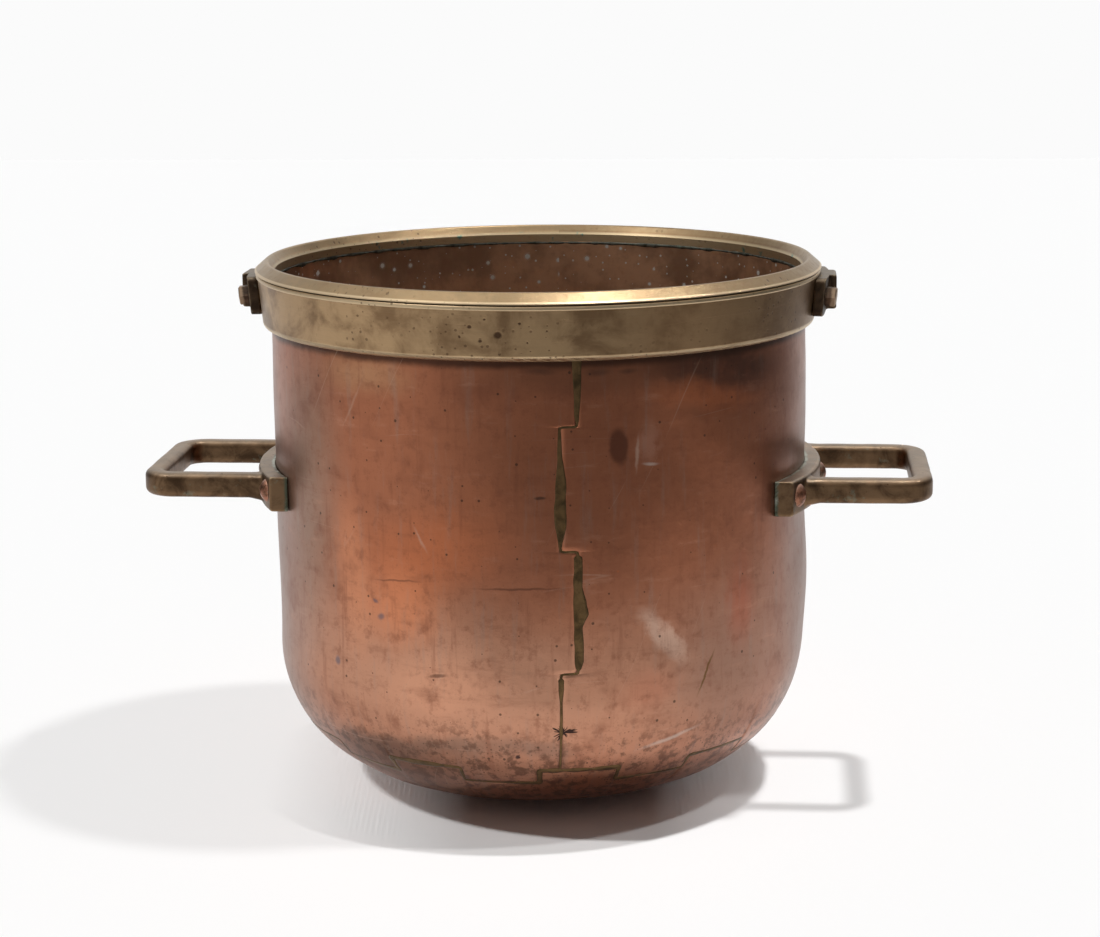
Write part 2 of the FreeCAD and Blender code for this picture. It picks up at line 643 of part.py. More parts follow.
def bolt(label, place):
    """Bolt with a six-sided head, a flat upwards, that ends blind inside the band."""
    body = new_body(label)
    head = body.newObject("PartDesign::AdditivePrism", label + "_head")
    head.Polygon = 6
    head.setExpression("Circumradius", named("bolt_flats / sqrt(3)"))
    head.setExpression("Height", "sizes.bolt_head")
    head.Placement = Placement(Vector(), Rotation(Vector(0, 0, 1), 30))
    top = worth("bolt_head")

    def outer_edge(edge):
        return all(abs(point.Z - top) < 0.01 for point in edge.Vertexes)
    fillet(body, label + "_edge", head, outer_edge, "bolt_chamfer", "PartDesign::Chamfer")
    shank = body.newObject("PartDesign::AdditiveCylinder", label + "_shank")
    shank.setExpression("Radius", "sizes.bolt_radius")
    shank.setExpression("Height", named("lug_thickness + bolt_depth"))
    shank.Placement = Placement(Vector(0, 0, -worth("lug_thickness + bolt_depth")), Rotation())
    body.Placement = place
    return body


def build():
    sheet = sheet_form()
    strip = side_strip()
    above, below = crown("crown_above", "+"), crown("crown_below", "-")
    openings = boolean("Part::MultiFuse", "wall_openings", [above, strip] + rivet_bores())
    parts = [
        boolean("Part::Cut", "kettle_wall", (sheet, openings)),
        boolean("Part::MultiCommon", "kettle_bottom", [sheet, below]),
        boolean("Part::Cut", "side_seam_braze", (
            boolean("Part::MultiCommon", "strip_in_sheet", [sheet, strip]), above)),
        boolean("Part::MultiCommon", "bottom_seam_braze", [
            sheet, boolean("Part::Cut", "crown_joint", (above, below))]),
        rim_ring(),
        rim_solder(),
    ]
    for side, facing in (("right", 0), ("left", 180)):
        parts.append(handle("handle_" + side, facing))
        parts.append(lug("lug_" + side, facing))
        for name, angle in rivet_angles().items():
            turn = angle if facing == 0 else -angle
            parts.append(rivet("rivet_%s_%s" % (side, name), facing + turn))
    for name, place in bolt_places().items():
        parts.append(bolt("lug_bolt_" + name, place))
    return parts


parts = build()
doc.recompute()
for item in doc.Objects:
    if "Invalid" in item.State or "Error" in item.State:
        raise RuntimeError("%s failed: %s" % (item.Label, item.State))
for item in parts:
    if item.Shape.isNull() or not item.Shape.isValid() or len(item.Shape.Solids) != 1:
        raise RuntimeError("%s is not one valid solid" % item.Label)
os.makedirs("parts", exist_ok=True)
for item in parts:
    item.Shape.exportStep("parts/%s.step" % item.Label)
    print("%-22s %8.1f cm3" % (item.Label, item.Shape.Volume / 1000))
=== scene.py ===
import math

import bmesh
import bpy
import numpy as np
from mathutils import Matrix, Vector


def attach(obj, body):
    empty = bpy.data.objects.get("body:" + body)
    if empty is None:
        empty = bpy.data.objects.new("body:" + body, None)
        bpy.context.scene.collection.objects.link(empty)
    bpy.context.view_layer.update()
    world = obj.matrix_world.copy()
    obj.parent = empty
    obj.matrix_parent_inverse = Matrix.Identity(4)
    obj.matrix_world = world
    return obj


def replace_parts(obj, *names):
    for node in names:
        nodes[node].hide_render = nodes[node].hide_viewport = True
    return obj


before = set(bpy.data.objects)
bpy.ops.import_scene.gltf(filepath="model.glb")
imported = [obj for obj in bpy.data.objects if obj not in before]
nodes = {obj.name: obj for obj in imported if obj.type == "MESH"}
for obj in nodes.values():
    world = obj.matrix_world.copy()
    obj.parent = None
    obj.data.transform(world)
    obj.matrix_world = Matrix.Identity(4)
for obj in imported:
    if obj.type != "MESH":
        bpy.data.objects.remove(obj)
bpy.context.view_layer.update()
scene = bpy.context.scene
mm = 0.001


def addObject(name, data):
    made = bpy.data.objects.new(name, data)
    scene.collection.objects.link(made)
    return made


# Shape of the copper

copper = {
    "radius": 225.0,        # outside of the wall
    "sheet": 2.2,
    "corner": 113.0,        # outside radius where the wall turns under
    "dome": 620.0,          # outside radius of the dished bottom
    "rest": 60.0,           # flat it stands on
    "top": 432.0,           # edge of the sheet inside the ring
    "columns": 300,         # points round the wall
    "points": {"rest": 40, "dome": 160, "corner": 240, "wall": 200},    # along the profile
    "dentDepth": 0.45,      # soft unevenness of the whole sheet
    "fadeFoot": (70, 60),   # the unevenness begins so far from the middle of the bottom, and how slowly
    "fadeTop": (30, 40),    # and ends so far from the top edge
    "dents": [              # angle, height, size, depth of the single dents
        (-58, 150, 34, 1.1), (-34, 92, 22, 0.9), (62, 118, 30, 1.0), (74, 205, 26, 0.8),
        (31, 168, 20, 0.7), (118, 160, 36, 1.2), (165, 110, 30, 1.1), (-120, 190, 32, 1.0),
        (-155, 300, 40, 0.8), (-88, 100, 26, 1.0), (88, 330, 34, 0.6), (9, 94, 9, 0.5),
    ],
    # angle, its half width in degrees, height, half height below and above, how far out
    "swells": [
        (97, 34, 180, 50, 46, 3.4), (93, 30, 330, 44, 44, 1.4), (-92, 30, 148, 34, 46, -1.4),
    ],
}


def copperProfile():
    # outside profile from the middle of the bottom: a flat disc, an arc about the dome's centre,
    # an arc about the corner's centre, and a straight line up the wall
    radius, corner, dome, points = (copper[label] for label in ("radius", "corner", "dome", "points"))
    domeLevel = math.sqrt(dome ** 2 - copper["rest"] ** 2)
    cornerLevel = domeLevel - math.sqrt((dome - corner) ** 2 - (radius - corner) ** 2)
    turn = math.atan2(radius - corner, domeLevel - cornerLevel)
    onDome = np.linspace(math.asin(copper["rest"] / dome), turn, points["dome"])
    onCorner = np.linspace(turn, math.pi / 2, points["corner"])[1:]
    across = np.concatenate([
        np.linspace(0, copper["rest"], points["rest"])[:-1], dome * np.sin(onDome),
        radius - corner + corner * np.sin(onCorner), np.full(points["wall"], radius)])
    up = np.concatenate([
        np.zeros(points["rest"] - 1), domeLevel - dome * np.cos(onDome),
        cornerLevel - corner * np.cos(onCorner),
        np.linspace(cornerLevel, copper["top"], points["wall"] + 1)[1:]])
    run = np.concatenate([[0], np.cumsum(np.hypot(np.diff(across), np.diff(up)))])
    return run, across, up


profileRun, profileAcross, profileUp = copperProfile()
profileTurn = np.unwrap(np.arctan2(np.gradient(profileUp), np.gradient(profileAcross)))
topRun = profileRun[-1]
risen = profileUp > 0.01


def runAt(height):
    # way along the profile, from the middle of the bottom, at which it reaches a height
    return np.interp(height, profileUp[risen], profileRun[risen])


def onCopper(angle, run, lift=0.0):
    # point at an angle and a way along the profile, lifted out along the profile's normal
    angle, run, lift = np.broadcast_arrays(np.radians(angle), run, lift)
    turn = np.interp(run, profileRun, profileTurn)
    across = np.interp(run, profileRun, profileAcross) + lift * np.sin(turn)
    up = np.interp(run, profileRun, profileUp) - lift * np.cos(turn)
    return np.stack([across * np.sin(angle), -across * np.cos(angle), up], -1) * mm


def folded(angle, turn=360):
    # the angle less whole turns, between minus and plus half a turn
    return np.mod(angle + turn / 2, turn) - turn / 2


def unevenness(angle, run):
    # sum of a few slow waves, the dents, each a bell of its size and depth, and the places where the pot
    # has been pushed out of round, all faded out at the flat and the rim
    waves = np.random.default_rng(7)
    height = np.interp(run, profileRun, profileUp)
    radians = np.radians(angle)
    lift = np.zeros(np.broadcast(angle, run).shape)
    for around in (2, 3, 5, 7, 9, 12, 15):
        phase, slant = waves.uniform(0, 2 * math.pi), waves.uniform(-0.02, 0.02)
        length = waves.uniform(90, 240)
        turning = np.cos(around * radians + phase + slant * height)
        lift = lift + turning * np.cos(2 * math.pi * run / length + phase)
    lift = lift * copper["dentDepth"] / 3
    for atAngle, atHeight, size, depth in copper["dents"]:
        aside = folded(angle - atAngle) * math.pi / 180 * copper["radius"]
        along = run - runAt(atHeight)
        lift = lift - depth * np.exp(-(aside ** 2 + along ** 2) / (2 * (size / 2) ** 2))
    for atAngle, wide, atHeight, below, above, far in copper["swells"]:
        aside = folded(angle - atAngle) / wide
        along = (height - atHeight) / np.where(height < atHeight, below, above)
        lift = lift + far * np.exp(-(aside ** 2 + along ** 2))
    (foot, footLength), (top, topLength) = copper["fadeFoot"], copper["fadeTop"]
    edge = np.clip((run - foot) / footLength, 0, 1) * np.clip((topRun - top - run) / topLength, 0, 1)
    return lift * edge * edge * (3 - 2 * edge)


# Meshes

def pieceFrom(name, points, faces):
    # faces is a list of arrays of corner numbers, one array for quads and one for triangles
    mesh = bpy.data.meshes.new(name)
    points = np.asarray(points, dtype=np.float32).reshape(-1, 3)
    mesh.vertices.add(len(points))
    mesh.vertices.foreach_set("co", points.ravel())
    corners = np.concatenate([part.ravel() for part in faces]).astype(np.int32)
    sizes = np.concatenate([np.full(len(part), part.shape[1]) for part in faces])
    starts = np.concatenate([[0], np.cumsum(sizes)[:-1]]).astype(np.int32)
    mesh.loops.add(len(corners))
    mesh.loops.foreach_set("vertex_index", corners)
    mesh.polygons.add(len(sizes))
    mesh.polygons.foreach_set("loop_start", starts)
    mesh.polygons.foreach_set("use_smooth", np.ones(len(sizes), dtype=bool))
    mesh.update(calc_edges=True)
    mesh.validate()
    return addObject(name, mesh)


def gridFaces(rows, columns, wrapRows=False, wrapColumns=False):
    # quads between neighbouring points of a grid, point (i, j) being number i * columns + j
    i = np.arange(rows if wrapRows else rows - 1)
    j = np.arange(columns if wrapColumns else columns - 1)
    i, j = (part.ravel() for part in np.meshgrid(i, j, indexing="ij"))
    nextI, nextJ = (i + 1) % rows, (j + 1) % columns
    return np.stack([i * columns + j, nextI * columns + j, nextI * columns + nextJ, i * columns + nextJ], 1)


def smoothNoise(count, step, seed, closed=False):
    # random values every step-th point, joined by cosine-shaped slopes
    knots = np.random.default_rng(seed).uniform(-1, 1, max(4, int(count / step) + 2))
    if closed:
        knots[-1] = knots[0]
    at = np.linspace(0, len(knots) - 1, count)
    low = np.minimum(at.astype(int), len(knots) - 2)
    share = (1 - np.cos(math.pi * (at - low))) / 2
    return knots[low] * (1 - share) + knots[low + 1] * share


print("frame loaded:", len(nodes), "nodes")

# Teeth of the joint between wall and bottom, and the stepped side seam

bottomJoint = {"height": 46.0, "rise": 13.5, "teeth": 10, "firstTooth": 13.3, "gap": 0.8, "radius": 200.0}
sideJoint = {"angle": 10.6, "swing": 6.9, "steps": [144.5, 243.0, 341.5], "gap": 0.8}
# grid of the wall: rows of its lower part and its height, rows above, height over which the teeth fade out,
# degrees over which the side seam's steps do, and how far the rows beside a step lie from it and from others
wallGrid = {
    "lowRows": 34, "lowHeight": 80, "rows": 86, "toothFade": 70, "stepFade": 14, "beside": 0.05, "clear": 0.8,
}
# grid of the bottom: its innermost circle, the circle where the rows get closer and their numbers, and the
# circle from which the teeth show, as shares of its radius
bottomGrid = {"start": 0.02, "close": 0.65, "innerRows": 44, "outerRows": 46, "teeth": 0.6}


def toothShare(angle, wider):
    # 1 over a tooth, 0 between teeth; wider is in degrees and moves both flanks apart
    pitch = 360 / bottomJoint["teeth"]
    return (np.abs(folded(angle - bottomJoint["firstTooth"], pitch)) < pitch / 4 + wider).astype(float)


def columnAngles(count, wider):
    # even angles from the side seam round to it again, with a close pair of them at each flank of a tooth
    pitch = 360 / bottomJoint["teeth"]
    middles = bottomJoint["firstTooth"] + np.arange(-1, 12)[:, None] * pitch
    flanks = middles + np.array([-1, 1]) * (pitch / 4 + wider)
    flanks = np.concatenate([flanks.ravel() - 0.02, flanks.ravel() + 0.02])
    start = sideJoint["angle"]
    flanks = flanks[(flanks > start + 0.4) & (flanks < start + 359.6)]
    even = np.linspace(start, start + 360, count + 1)
    clear = np.min(np.abs(even[:, None] - flanks[None, :]), axis=1) > 0.35
    clear[[0, -1]] = True
    return np.sort(np.concatenate([even[clear], flanks]))


def seamTrack(height, gap):
    # sideways place of an edge of the side seam in mm: on the left below the first step, then from side to
    # side; a step to the right is taken gap lower on the right edge and gap higher on the left one, and so on
    steps = np.array(sideJoint["steps"]) + gap * np.array([-1, 1, -1])
    side = np.where(np.sum(height[..., None] > steps, -1) % 2 == 0, -1.0, 1.0)
    return side * sideJoint["swing"] + gap


def surround(points, faces, edge, flip):
    # a band of quads that joins the edge of the outer face to the same edge of the inner face
    half = len(points) // 2
    first, second = edge[:-1], edge[1:]
    band = np.stack([first, second, second + half, first + half], 1)
    faces.append(band[:, ::-1] if flip else band)


def copperWall():
    # grid of angle and run: the lower rows follow the teeth, the columns beside the side seam its steps,
    # p = onCopper(angle + seam shift, run + tooth shift, unevenness), and the same one sheet further in
    gap = bottomJoint["gap"] / 2
    wider = math.degrees(gap / bottomJoint["radius"])
    angles = columnAngles(copper["columns"], wider)
    bottomRun = runAt(bottomJoint["height"] + gap)
    raisedRun = runAt(bottomJoint["height"] + bottomJoint["rise"] + gap)
    lowTop = bottomRun + wallGrid["lowHeight"]
    even = np.concatenate([
        np.linspace(bottomRun, lowTop, wallGrid["lowRows"])[:-1],
        np.linspace(lowTop, topRun, wallGrid["rows"])])
    stepRuns = runAt(np.array(sideJoint["steps"]))
    gapHalf, beside = sideJoint["gap"] / 2, wallGrid["beside"]
    besides = np.array([-gapHalf - beside, -gapHalf + beside, gapHalf - beside, gapHalf + beside])
    extra = (stepRuns[:, None] + besides).ravel()
    even = even[np.min(np.abs(even[:, None] - extra[None, :]), axis=1) > wallGrid["clear"]]
    rows = np.sort(np.concatenate([even, extra]))
    run = rows[:, None] + np.zeros(len(angles))[None, :]
    fade = np.clip(1 - (run - bottomRun) / wallGrid["toothFade"], 0, 1)
    run = run + (raisedRun - bottomRun) * toothShare(angles, wider)[None, :] * fade
    height = np.interp(run, profileRun, profileUp)
    start = sideJoint["angle"]
    fromRight = np.clip(1 - (angles - start) / wallGrid["stepFade"], 0, 1)
    fromLeft = np.clip(1 - (start + 360 - angles) / wallGrid["stepFade"], 0, 1)
    stepRows = np.interp(rows, profileRun, profileUp)[:, None]
    trackRight = seamTrack(stepRows, gapHalf)
    trackLeft = seamTrack(stepRows, -gapHalf)
    shift = trackRight * fromRight[None, :] ** 2 + trackLeft * fromLeft[None, :] ** 2
    angle = angles[None, :] + np.degrees(shift / copper["radius"])
    lift = unevenness(angle, run)
    outer = onCopper(angle, run, lift)
    inner = onCopper(angle, run, lift - copper["sheet"])
    points = np.concatenate([outer.reshape(-1, 3), inner.reshape(-1, 3)])
    count, across = run.shape
    grid = gridFaces(count, across)
    faces = [grid[:, ::-1], grid + count * across]
    number = np.arange(count * across).reshape(count, across)
    surround(points, faces, number[0, :], True)
    surround(points, faces, number[-1, :], False)
    surround(points, faces, number[:, 0], False)
    surround(points, faces, number[:, -1], True)
    piece = pieceFrom("copperWall", points, faces)
    inside = np.zeros(len(piece.data.polygons), dtype=np.int32)
    inside[len(grid):2 * len(grid)] = 1
    piece.data.polygons.foreach_set("material_index", inside)
    return piece


def copperBottom():
    # grid of angle and share: run = share * edge of the teeth, with one point in the middle of each face
    gap = bottomJoint["gap"] / 2
    wider = -math.degrees(gap / bottomJoint["radius"])
    angles = columnAngles(copper["columns"], wider)[:-1]
    edgeRun = np.where(
        toothShare(angles, wider) > 0,
        runAt(bottomJoint["height"] + bottomJoint["rise"] - gap), runAt(bottomJoint["height"] - gap))
    lowRun = runAt(bottomJoint["height"] - gap)
    start, close, teeth = (bottomGrid[label] for label in ("start", "close", "teeth"))
    share = np.concatenate([
        np.linspace(start, close, bottomGrid["innerRows"])[:-1],
        np.linspace(close, 1, bottomGrid["outerRows"])])
    stretch = np.clip((share[:, None] - teeth) / (1 - teeth), 0, 1)
    run = share[:, None] * lowRun + stretch * (edgeRun - lowRun)[None, :]
    angle = angles[None, :] + np.zeros(run.shape)
    lift = unevenness(angle, run)
    outer = onCopper(angle, run, lift).reshape(-1, 3)
    inner = onCopper(angle, run, lift - copper["sheet"]).reshape(-1, 3)
    outer = np.concatenate([outer, onCopper([0.0], [0.0])])
    inner = np.concatenate([inner, onCopper([0.0], [0.0], [-copper["sheet"]])])
    points = np.concatenate([outer, inner])
    count, across = run.shape
    half = len(outer)
    grid = gridFaces(count, across, wrapColumns=True)
    first = np.arange(across)
    fan = np.stack([np.full(across, half - 1), first, (first + 1) % across], 1)
    faces = [grid[:, ::-1], grid + half, fan[:, ::-1], fan + half]
    edge = np.append(np.arange(across), 0) + (count - 1) * across
    surround(points, faces, edge, False)
    piece = pieceFrom("copperBottom", points, [faces[0], faces[1], faces[4], faces[2], faces[3]])
    inside = np.zeros(len(piece.data.polygons), dtype=np.int32)
    inside[len(grid):2 * len(grid)] = 1
    inside[-across:] = 1
    piece.data.polygons.foreach_set("material_index", inside)
    return piece


wall = copperWall()
bottom = copperBottom()
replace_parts(wall, "kettle_wall")
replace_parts(bottom, "kettle_bottom")
for sheetPiece in (wall, bottom):
    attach(sheetPiece, "root")
print("copper sheet built")

# Brazing in the seams: a run bead of uneven width that stands a little proud outside and inside

sideBead = {
    # height, half width to the left and to the right, in mm
    "widths": [
        (432, 3.2, 3.2), (392, 3.6, 3.8), (375, 3.0, 3.4), (352, 1.8, 1.8), (343, 0.9, 1.0),
        (341, 0.7, 0.7), (330, 1.2, 1.6), (316, 1.4, 2.2), (300, 3.0, 4.6), (280, 4.0, 5.0),
        (262, 3.6, 4.4), (250, 1.2, 1.4), (243, 0.8, 0.8), (238, 3.0, 3.0), (215, 3.2, 3.2),
        (203, 3.4, 7.0), (192, 3.4, 7.2), (182, 2.8, 3.2), (170, 3.2, 4.2), (154, 3.0, 4.4),
        (146, 1.2, 1.4), (144, 0.7, 0.7), (140, 2.0, 2.0), (131, 1.7, 1.7), (122, 0.8, 0.8),
        (104, 0.8, 0.9), (96, 1.4, 1.4), (88, 0.8, 0.7), (60, 0.7, 0.7)],
    "proud": 0.14,
}
bottomBead = {
    # angle, half width, in mm; between the listed places it stays thin and uneven
    "widths": [
        (-180, 0.9), (-60, 1.0), (-45, 1.0), (-41, 1.5), (-32, 2.2), (-20, 2.4), (-16, 2.0), (-13, 1.0),
        (-5, 0.8), (1, 2.0), (6, 2.6), (14, 2.1), (20, 2.4), (24, 1.6), (28, 0.9), (34, 1.2),
        (41, 1.6), (52, 1.4), (60, 1.1), (180, 0.9)],
    "proud": 0.16,
}
# points across a bead's outside, how far its edges stand over the sheet, and how unevenly its crown does
beadSection = {"points": 7, "over": 0.03, "uneven": 0.4, "seed": 3}


def strip(name, angle, run, leftHalf, rightHalf, proud, closed):
    # sweep of a closed section along a path on the sheet: across the path the outside runs as
    # proud * (1 - t^2) with t from -1 to 1 over the bead's width, the inside the same below the sheet
    count, over, uneven = (beadSection[label] for label in ("points", "over", "uneven"))
    place = np.stack([np.radians(angle) * copper["radius"], run], -1)
    if closed:
        ahead, behind = np.roll(place, -1, 0), np.roll(place, 1, 0)
        turnLength = 2 * math.pi * copper["radius"]
        ahead[-1, 0] += turnLength
        behind[0, 0] -= turnLength
    else:
        ahead = np.concatenate([place[1:], place[-1:]])
        behind = np.concatenate([place[:1], place[:-1]])
    way = ahead - behind
    way /= np.linalg.norm(way, axis=1, keepdims=True)
    side = np.stack([way[:, 1], -way[:, 0]], -1)
    t = np.linspace(-1, 1, count)
    aside = np.where(t[None, :] < 0, leftHalf[:, None], rightHalf[:, None]) * t[None, :]
    across = place[:, None, :] + side[:, None, :] * aside[..., None]
    wander = np.random.default_rng(beadSection["seed"]).uniform(-uneven, uneven, (len(angle), count))
    crown = proud * (1 - t ** 2)[None, :] * (1 + wander)
    acrossAngle = np.degrees(across[..., 0] / copper["radius"])
    under = unevenness(acrossAngle, across[..., 1])
    top = onCopper(acrossAngle, across[..., 1], under + over + crown)
    low = onCopper(acrossAngle, across[..., 1], under - copper["sheet"] - over - crown)
    ring = np.concatenate([top, low[:, ::-1]], axis=1)
    count, around = ring.shape[:2]
    faces = [gridFaces(count, around, wrapRows=closed, wrapColumns=True)]
    points = ring.reshape(-1, 3)
    if not closed:
        middles = np.stack([ring[0].mean(0), ring[-1].mean(0)])
        points = np.concatenate([points, middles])
        j = np.arange(around)
        nextJ = (j + 1) % around
        last = (count - 1) * around
        faces.append(np.stack([np.full(around, len(points) - 2), j, nextJ], 1))
        faces.append(np.stack([np.full(around, len(points) - 1), last + nextJ, last + j], 1))
    piece = pieceFrom(name, points, faces)
    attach(piece, "root")
    return piece


def densePath(corners, step):
    # points every step millimetres along a line of corners
    corners = np.asarray(corners, dtype=float)
    length = np.concatenate([[0], np.cumsum(np.hypot(*np.diff(corners, axis=0).T))])
    at = np.linspace(0, length[-1], int(length[-1] / step) + 1)
    return np.stack([np.interp(at, length, corners[:, k]) for k in (0, 1)], -1)


def softened(padded, weights):
    # each point of a path becomes the weighted mean of itself and its neighbours
    weights = np.array(weights) / sum(weights)
    return np.stack([np.convolve(padded[:, k], weights, mode="valid") for k in (0, 1)], -1)


def sideSeam():
    # from the foot of the seam up to the top edge, from side to side at the three steps
    swing, start = sideJoint["swing"], runAt(bottomJoint["height"] + bottomJoint["rise"])
    corners = [(-swing, start)]
    side = -swing
    for level in sideJoint["steps"]:
        corners += [(side, runAt(level)), (-side, runAt(level))]
        side = -side
    corners.append((side, topRun))
    path = densePath(corners, 1.5)
    path = softened(np.pad(path, ((2, 2), (0, 0)), mode="edge"), [1, 2, 3, 2, 1])
    height = np.interp(path[:, 1], profileRun, profileUp)
    table = np.array(sideBead["widths"])[::-1]
    leftHalf, rightHalf = (np.interp(height, table[:, 0], table[:, k]) for k in (1, 2))
    # on a step the bead is thin
    sideways = np.abs(np.gradient(path[:, 0])) > 0.6
    near = np.convolve(sideways, np.ones(5), mode="same") > 0
    leftHalf, rightHalf = (np.where(near, np.minimum(half, 0.75), half) for half in (leftHalf, rightHalf))
    leftHalf = leftHalf * (1 + 0.15 * smoothNoise(len(path), 6, 11)) + 0.2
    rightHalf = rightHalf * (1 + 0.15 * smoothNoise(len(path), 6, 12)) + 0.2
    angle = sideJoint["angle"] + np.degrees(path[:, 0] / copper["radius"])
    return strip("sideSeam", angle, path[:, 1], leftHalf, rightHalf, sideBead["proud"], False)


def bottomSeam():
    # once round, up and down over the ten teeth
    pitch = 360 / bottomJoint["teeth"]
    low, high = runAt(bottomJoint["height"]), runAt(bottomJoint["height"] + bottomJoint["rise"])
    corners = []
    for k in range(bottomJoint["teeth"]):
        middle = bottomJoint["firstTooth"] - 180 + k * pitch
        for angle, run in ((-pitch / 4, low), (-pitch / 4, high), (pitch / 4, high), (pitch / 4, low)):
            corners.append((math.radians(middle + angle) * copper["radius"], run))
    first = np.array(corners[0])
    corners.append((first[0] + 2 * math.pi * copper["radius"], first[1]))
    path = densePath(corners, 1.6)[:-1]
    turnLength = np.array([2 * math.pi * copper["radius"], 0])
    path = softened(np.concatenate([path[-1:] - turnLength, path, path[:1] + turnLength]), [1, 2, 1])
    angle = np.degrees(path[:, 0] / copper["radius"])
    table = np.array(bottomBead["widths"])
    half = np.interp(folded(angle), table[:, 0], table[:, 1])
    half = half * (1 + 0.3 * smoothNoise(len(path), 5, 21, True)) + 0.2
    return strip("bottomSeam", angle, path[:, 1], half, half, bottomBead["proud"], True)


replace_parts(sideSeam(), "side_seam_braze")
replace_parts(bottomSeam(), "bottom_seam_braze")
print("seams run")

# Solder inside, in the corner under the ring

solderLine = {
    "radius": 222.15, "level": 430.7, "thick": 0.75, "tall": 1.3, "points": 720, "sides": 12,
    # step and seed of the noises that make it thicker and taller, with their shares, and of its sags
    "thicker": [(4, 31, 0.35), (2, 32, 0.2)], "taller": [(5, 33, 0.45), (2, 34, 0.25)], "sag": (9, 35, 0.5),
}


def rimSolder():
    # closed sweep round the axis: section r = R + a cos t, z = Z + b sin t, where a and b wander with the
    # angle, and the lower half sags here and there
    count, sides = solderLine["points"], solderLine["sides"]
    angle = np.linspace(0, 2 * math.pi, count, endpoint=False)[:, None]
    t = np.linspace(0, 2 * math.pi, sides, endpoint=False)[None, :]
    thick, tall = 1, 1
    for step, seed, share in solderLine["thicker"]:
        thick = thick + share * smoothNoise(count, step, seed, True)
    for step, seed, share in solderLine["taller"]:
        tall = tall + share * smoothNoise(count, step, seed, True)
    thick, tall = thick * solderLine["thick"], tall * solderLine["tall"]
    sagStep, sagSeed, sagShare = solderLine["sag"]
    hang = sagShare * np.clip(smoothNoise(count, sagStep, sagSeed, True), 0, 1)
    radius = solderLine["radius"] + thick[:, None] * np.cos(t)
    level = solderLine["level"] + tall[:, None] * np.sin(t) * np.where(np.sin(t) < 0, 1 + hang[:, None], 0.85)
    points = np.stack([radius * np.sin(angle), -radius * np.cos(angle), level], -1) * mm
    piece = pieceFrom("rimSolder", points, [gridFaces(count, sides, True, True)[:, ::-1]])
    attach(piece, "root")
    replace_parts(piece, "rim_solder")
    return piece


rimSolder()

# Castings: the solids with the soft, slightly uneven skin of a sand casting

castings = {
    "handle_right": {"voxel": 1.1, "smooth": 4, "uneven": 0.16, "slot": "bronze", "seed": 5},
    "handle_left": {"voxel": 1.1, "smooth": 4, "uneven": 0.16, "slot": "bronze", "seed": 6},
    "lug_right": {"voxel": 0.9, "smooth": 4, "uneven": 0.14, "slot": "lug_bronze", "seed": 7},
    "lug_left": {"voxel": 0.9, "smooth": 4, "uneven": 0.14, "slot": "lug_bronze", "seed": 8},
}
# waves of the uneven skin with their shortest and longest, per metre, and the radii between which it sets in
castSkin = {"waves": 14, "lengths": (60, 320), "from": 226, "to": 230}


def softCasting(name, look):
    # merged copy of the solid, remeshed in even small faces and smoothed, then each point moves along its
    # normal by 2 * uneven * the mean of sin(wave . point + phase); the face on the wall or the ring stays
    shape = bmesh.new()
    shape.from_mesh(nodes[name].data)
    bmesh.ops.remove_doubles(shape, verts=shape.verts, dist=1e-6)
    merged = bpy.data.meshes.new(name + "_merged")
    shape.to_mesh(merged)
    shape.free()
    piece = addObject(name + "_cast", merged)
    remesh = piece.modifiers.new("evenFaces", "REMESH")
    remesh.mode = "VOXEL"
    remesh.voxel_size = look["voxel"] * mm
    smooth = piece.modifiers.new("softEdges", "SMOOTH")
    smooth.factor = 0.5
    smooth.iterations = look["smooth"]
    made = bpy.data.meshes.new_from_object(piece.evaluated_get(bpy.context.evaluated_depsgraph_get()))
    piece.modifiers.clear()
    piece.data = made
    count = len(made.vertices)
    points, normals = np.zeros(count * 3), np.zeros(count * 3)
    made.vertices.foreach_get("co", points)
    made.vertex_normals.foreach_get("vector", normals)
    points, normals = points.reshape(-1, 3), normals.reshape(-1, 3)
    waves = np.random.default_rng(look["seed"])
    total = castSkin["waves"]
    wave = waves.normal(0, 1, (total, 3))
    wave *= waves.uniform(*castSkin["lengths"], (total, 1)) / np.linalg.norm(wave, axis=1, keepdims=True)
    lift = np.sin(points @ wave.T + waves.uniform(0, 6.3, total)).sum(1) / total
    radius = np.hypot(points[:, 0], points[:, 1]) / mm
    seated = np.clip((radius - castSkin["from"]) / (castSkin["to"] - castSkin["from"]), 0, 1)
    points += normals * (lift * look["uneven"] * mm * 2 * seated)[:, None]
    made.vertices.foreach_set("co", points.ravel())
    made.polygons.foreach_set("use_smooth", np.ones(len(made.polygons), dtype=bool))
    made.materials.clear()
    made.update()
    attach(piece, "root")
    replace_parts(piece, name)
    return piece


cast = {name: softCasting(name, look) for name, look in castings.items()}
print("solder and castings made:", {name: len(piece.data.polygons) for name, piece in cast.items()})

# Shader helpers

class Field:
    # a value, colour or vector that changes over the surface; arithmetic on values adds Math nodes
    def __init__(self, socket):
        self.socket = socket

    def __add__(self, other):
        return calc("ADD", self, other)

    def __sub__(self, other):
        return calc("SUBTRACT", self, other)

    def __rsub__(self, other):
        return calc("SUBTRACT", other, self)

    def __mul__(self, other):
        return calc("MULTIPLY", self, other)

    def __truediv__(self, other):
        return calc("DIVIDE", self, other)


def put(tree, kind, inputs=None, **settings):
    # adds a node; inputs maps a socket's name or number to a plain value or to a field
    node = tree.nodes.new("ShaderNode" + kind)
    for name, value in settings.items():
        setattr(node, name, value)
    for key, value in (inputs or {}).items():
        if isinstance(value, Field):
            tree.links.new(value.socket, node.inputs[key])
        else:
            node.inputs[key].default_value = value
    return node


def out(node, key=0):
    return Field(node.outputs[key])


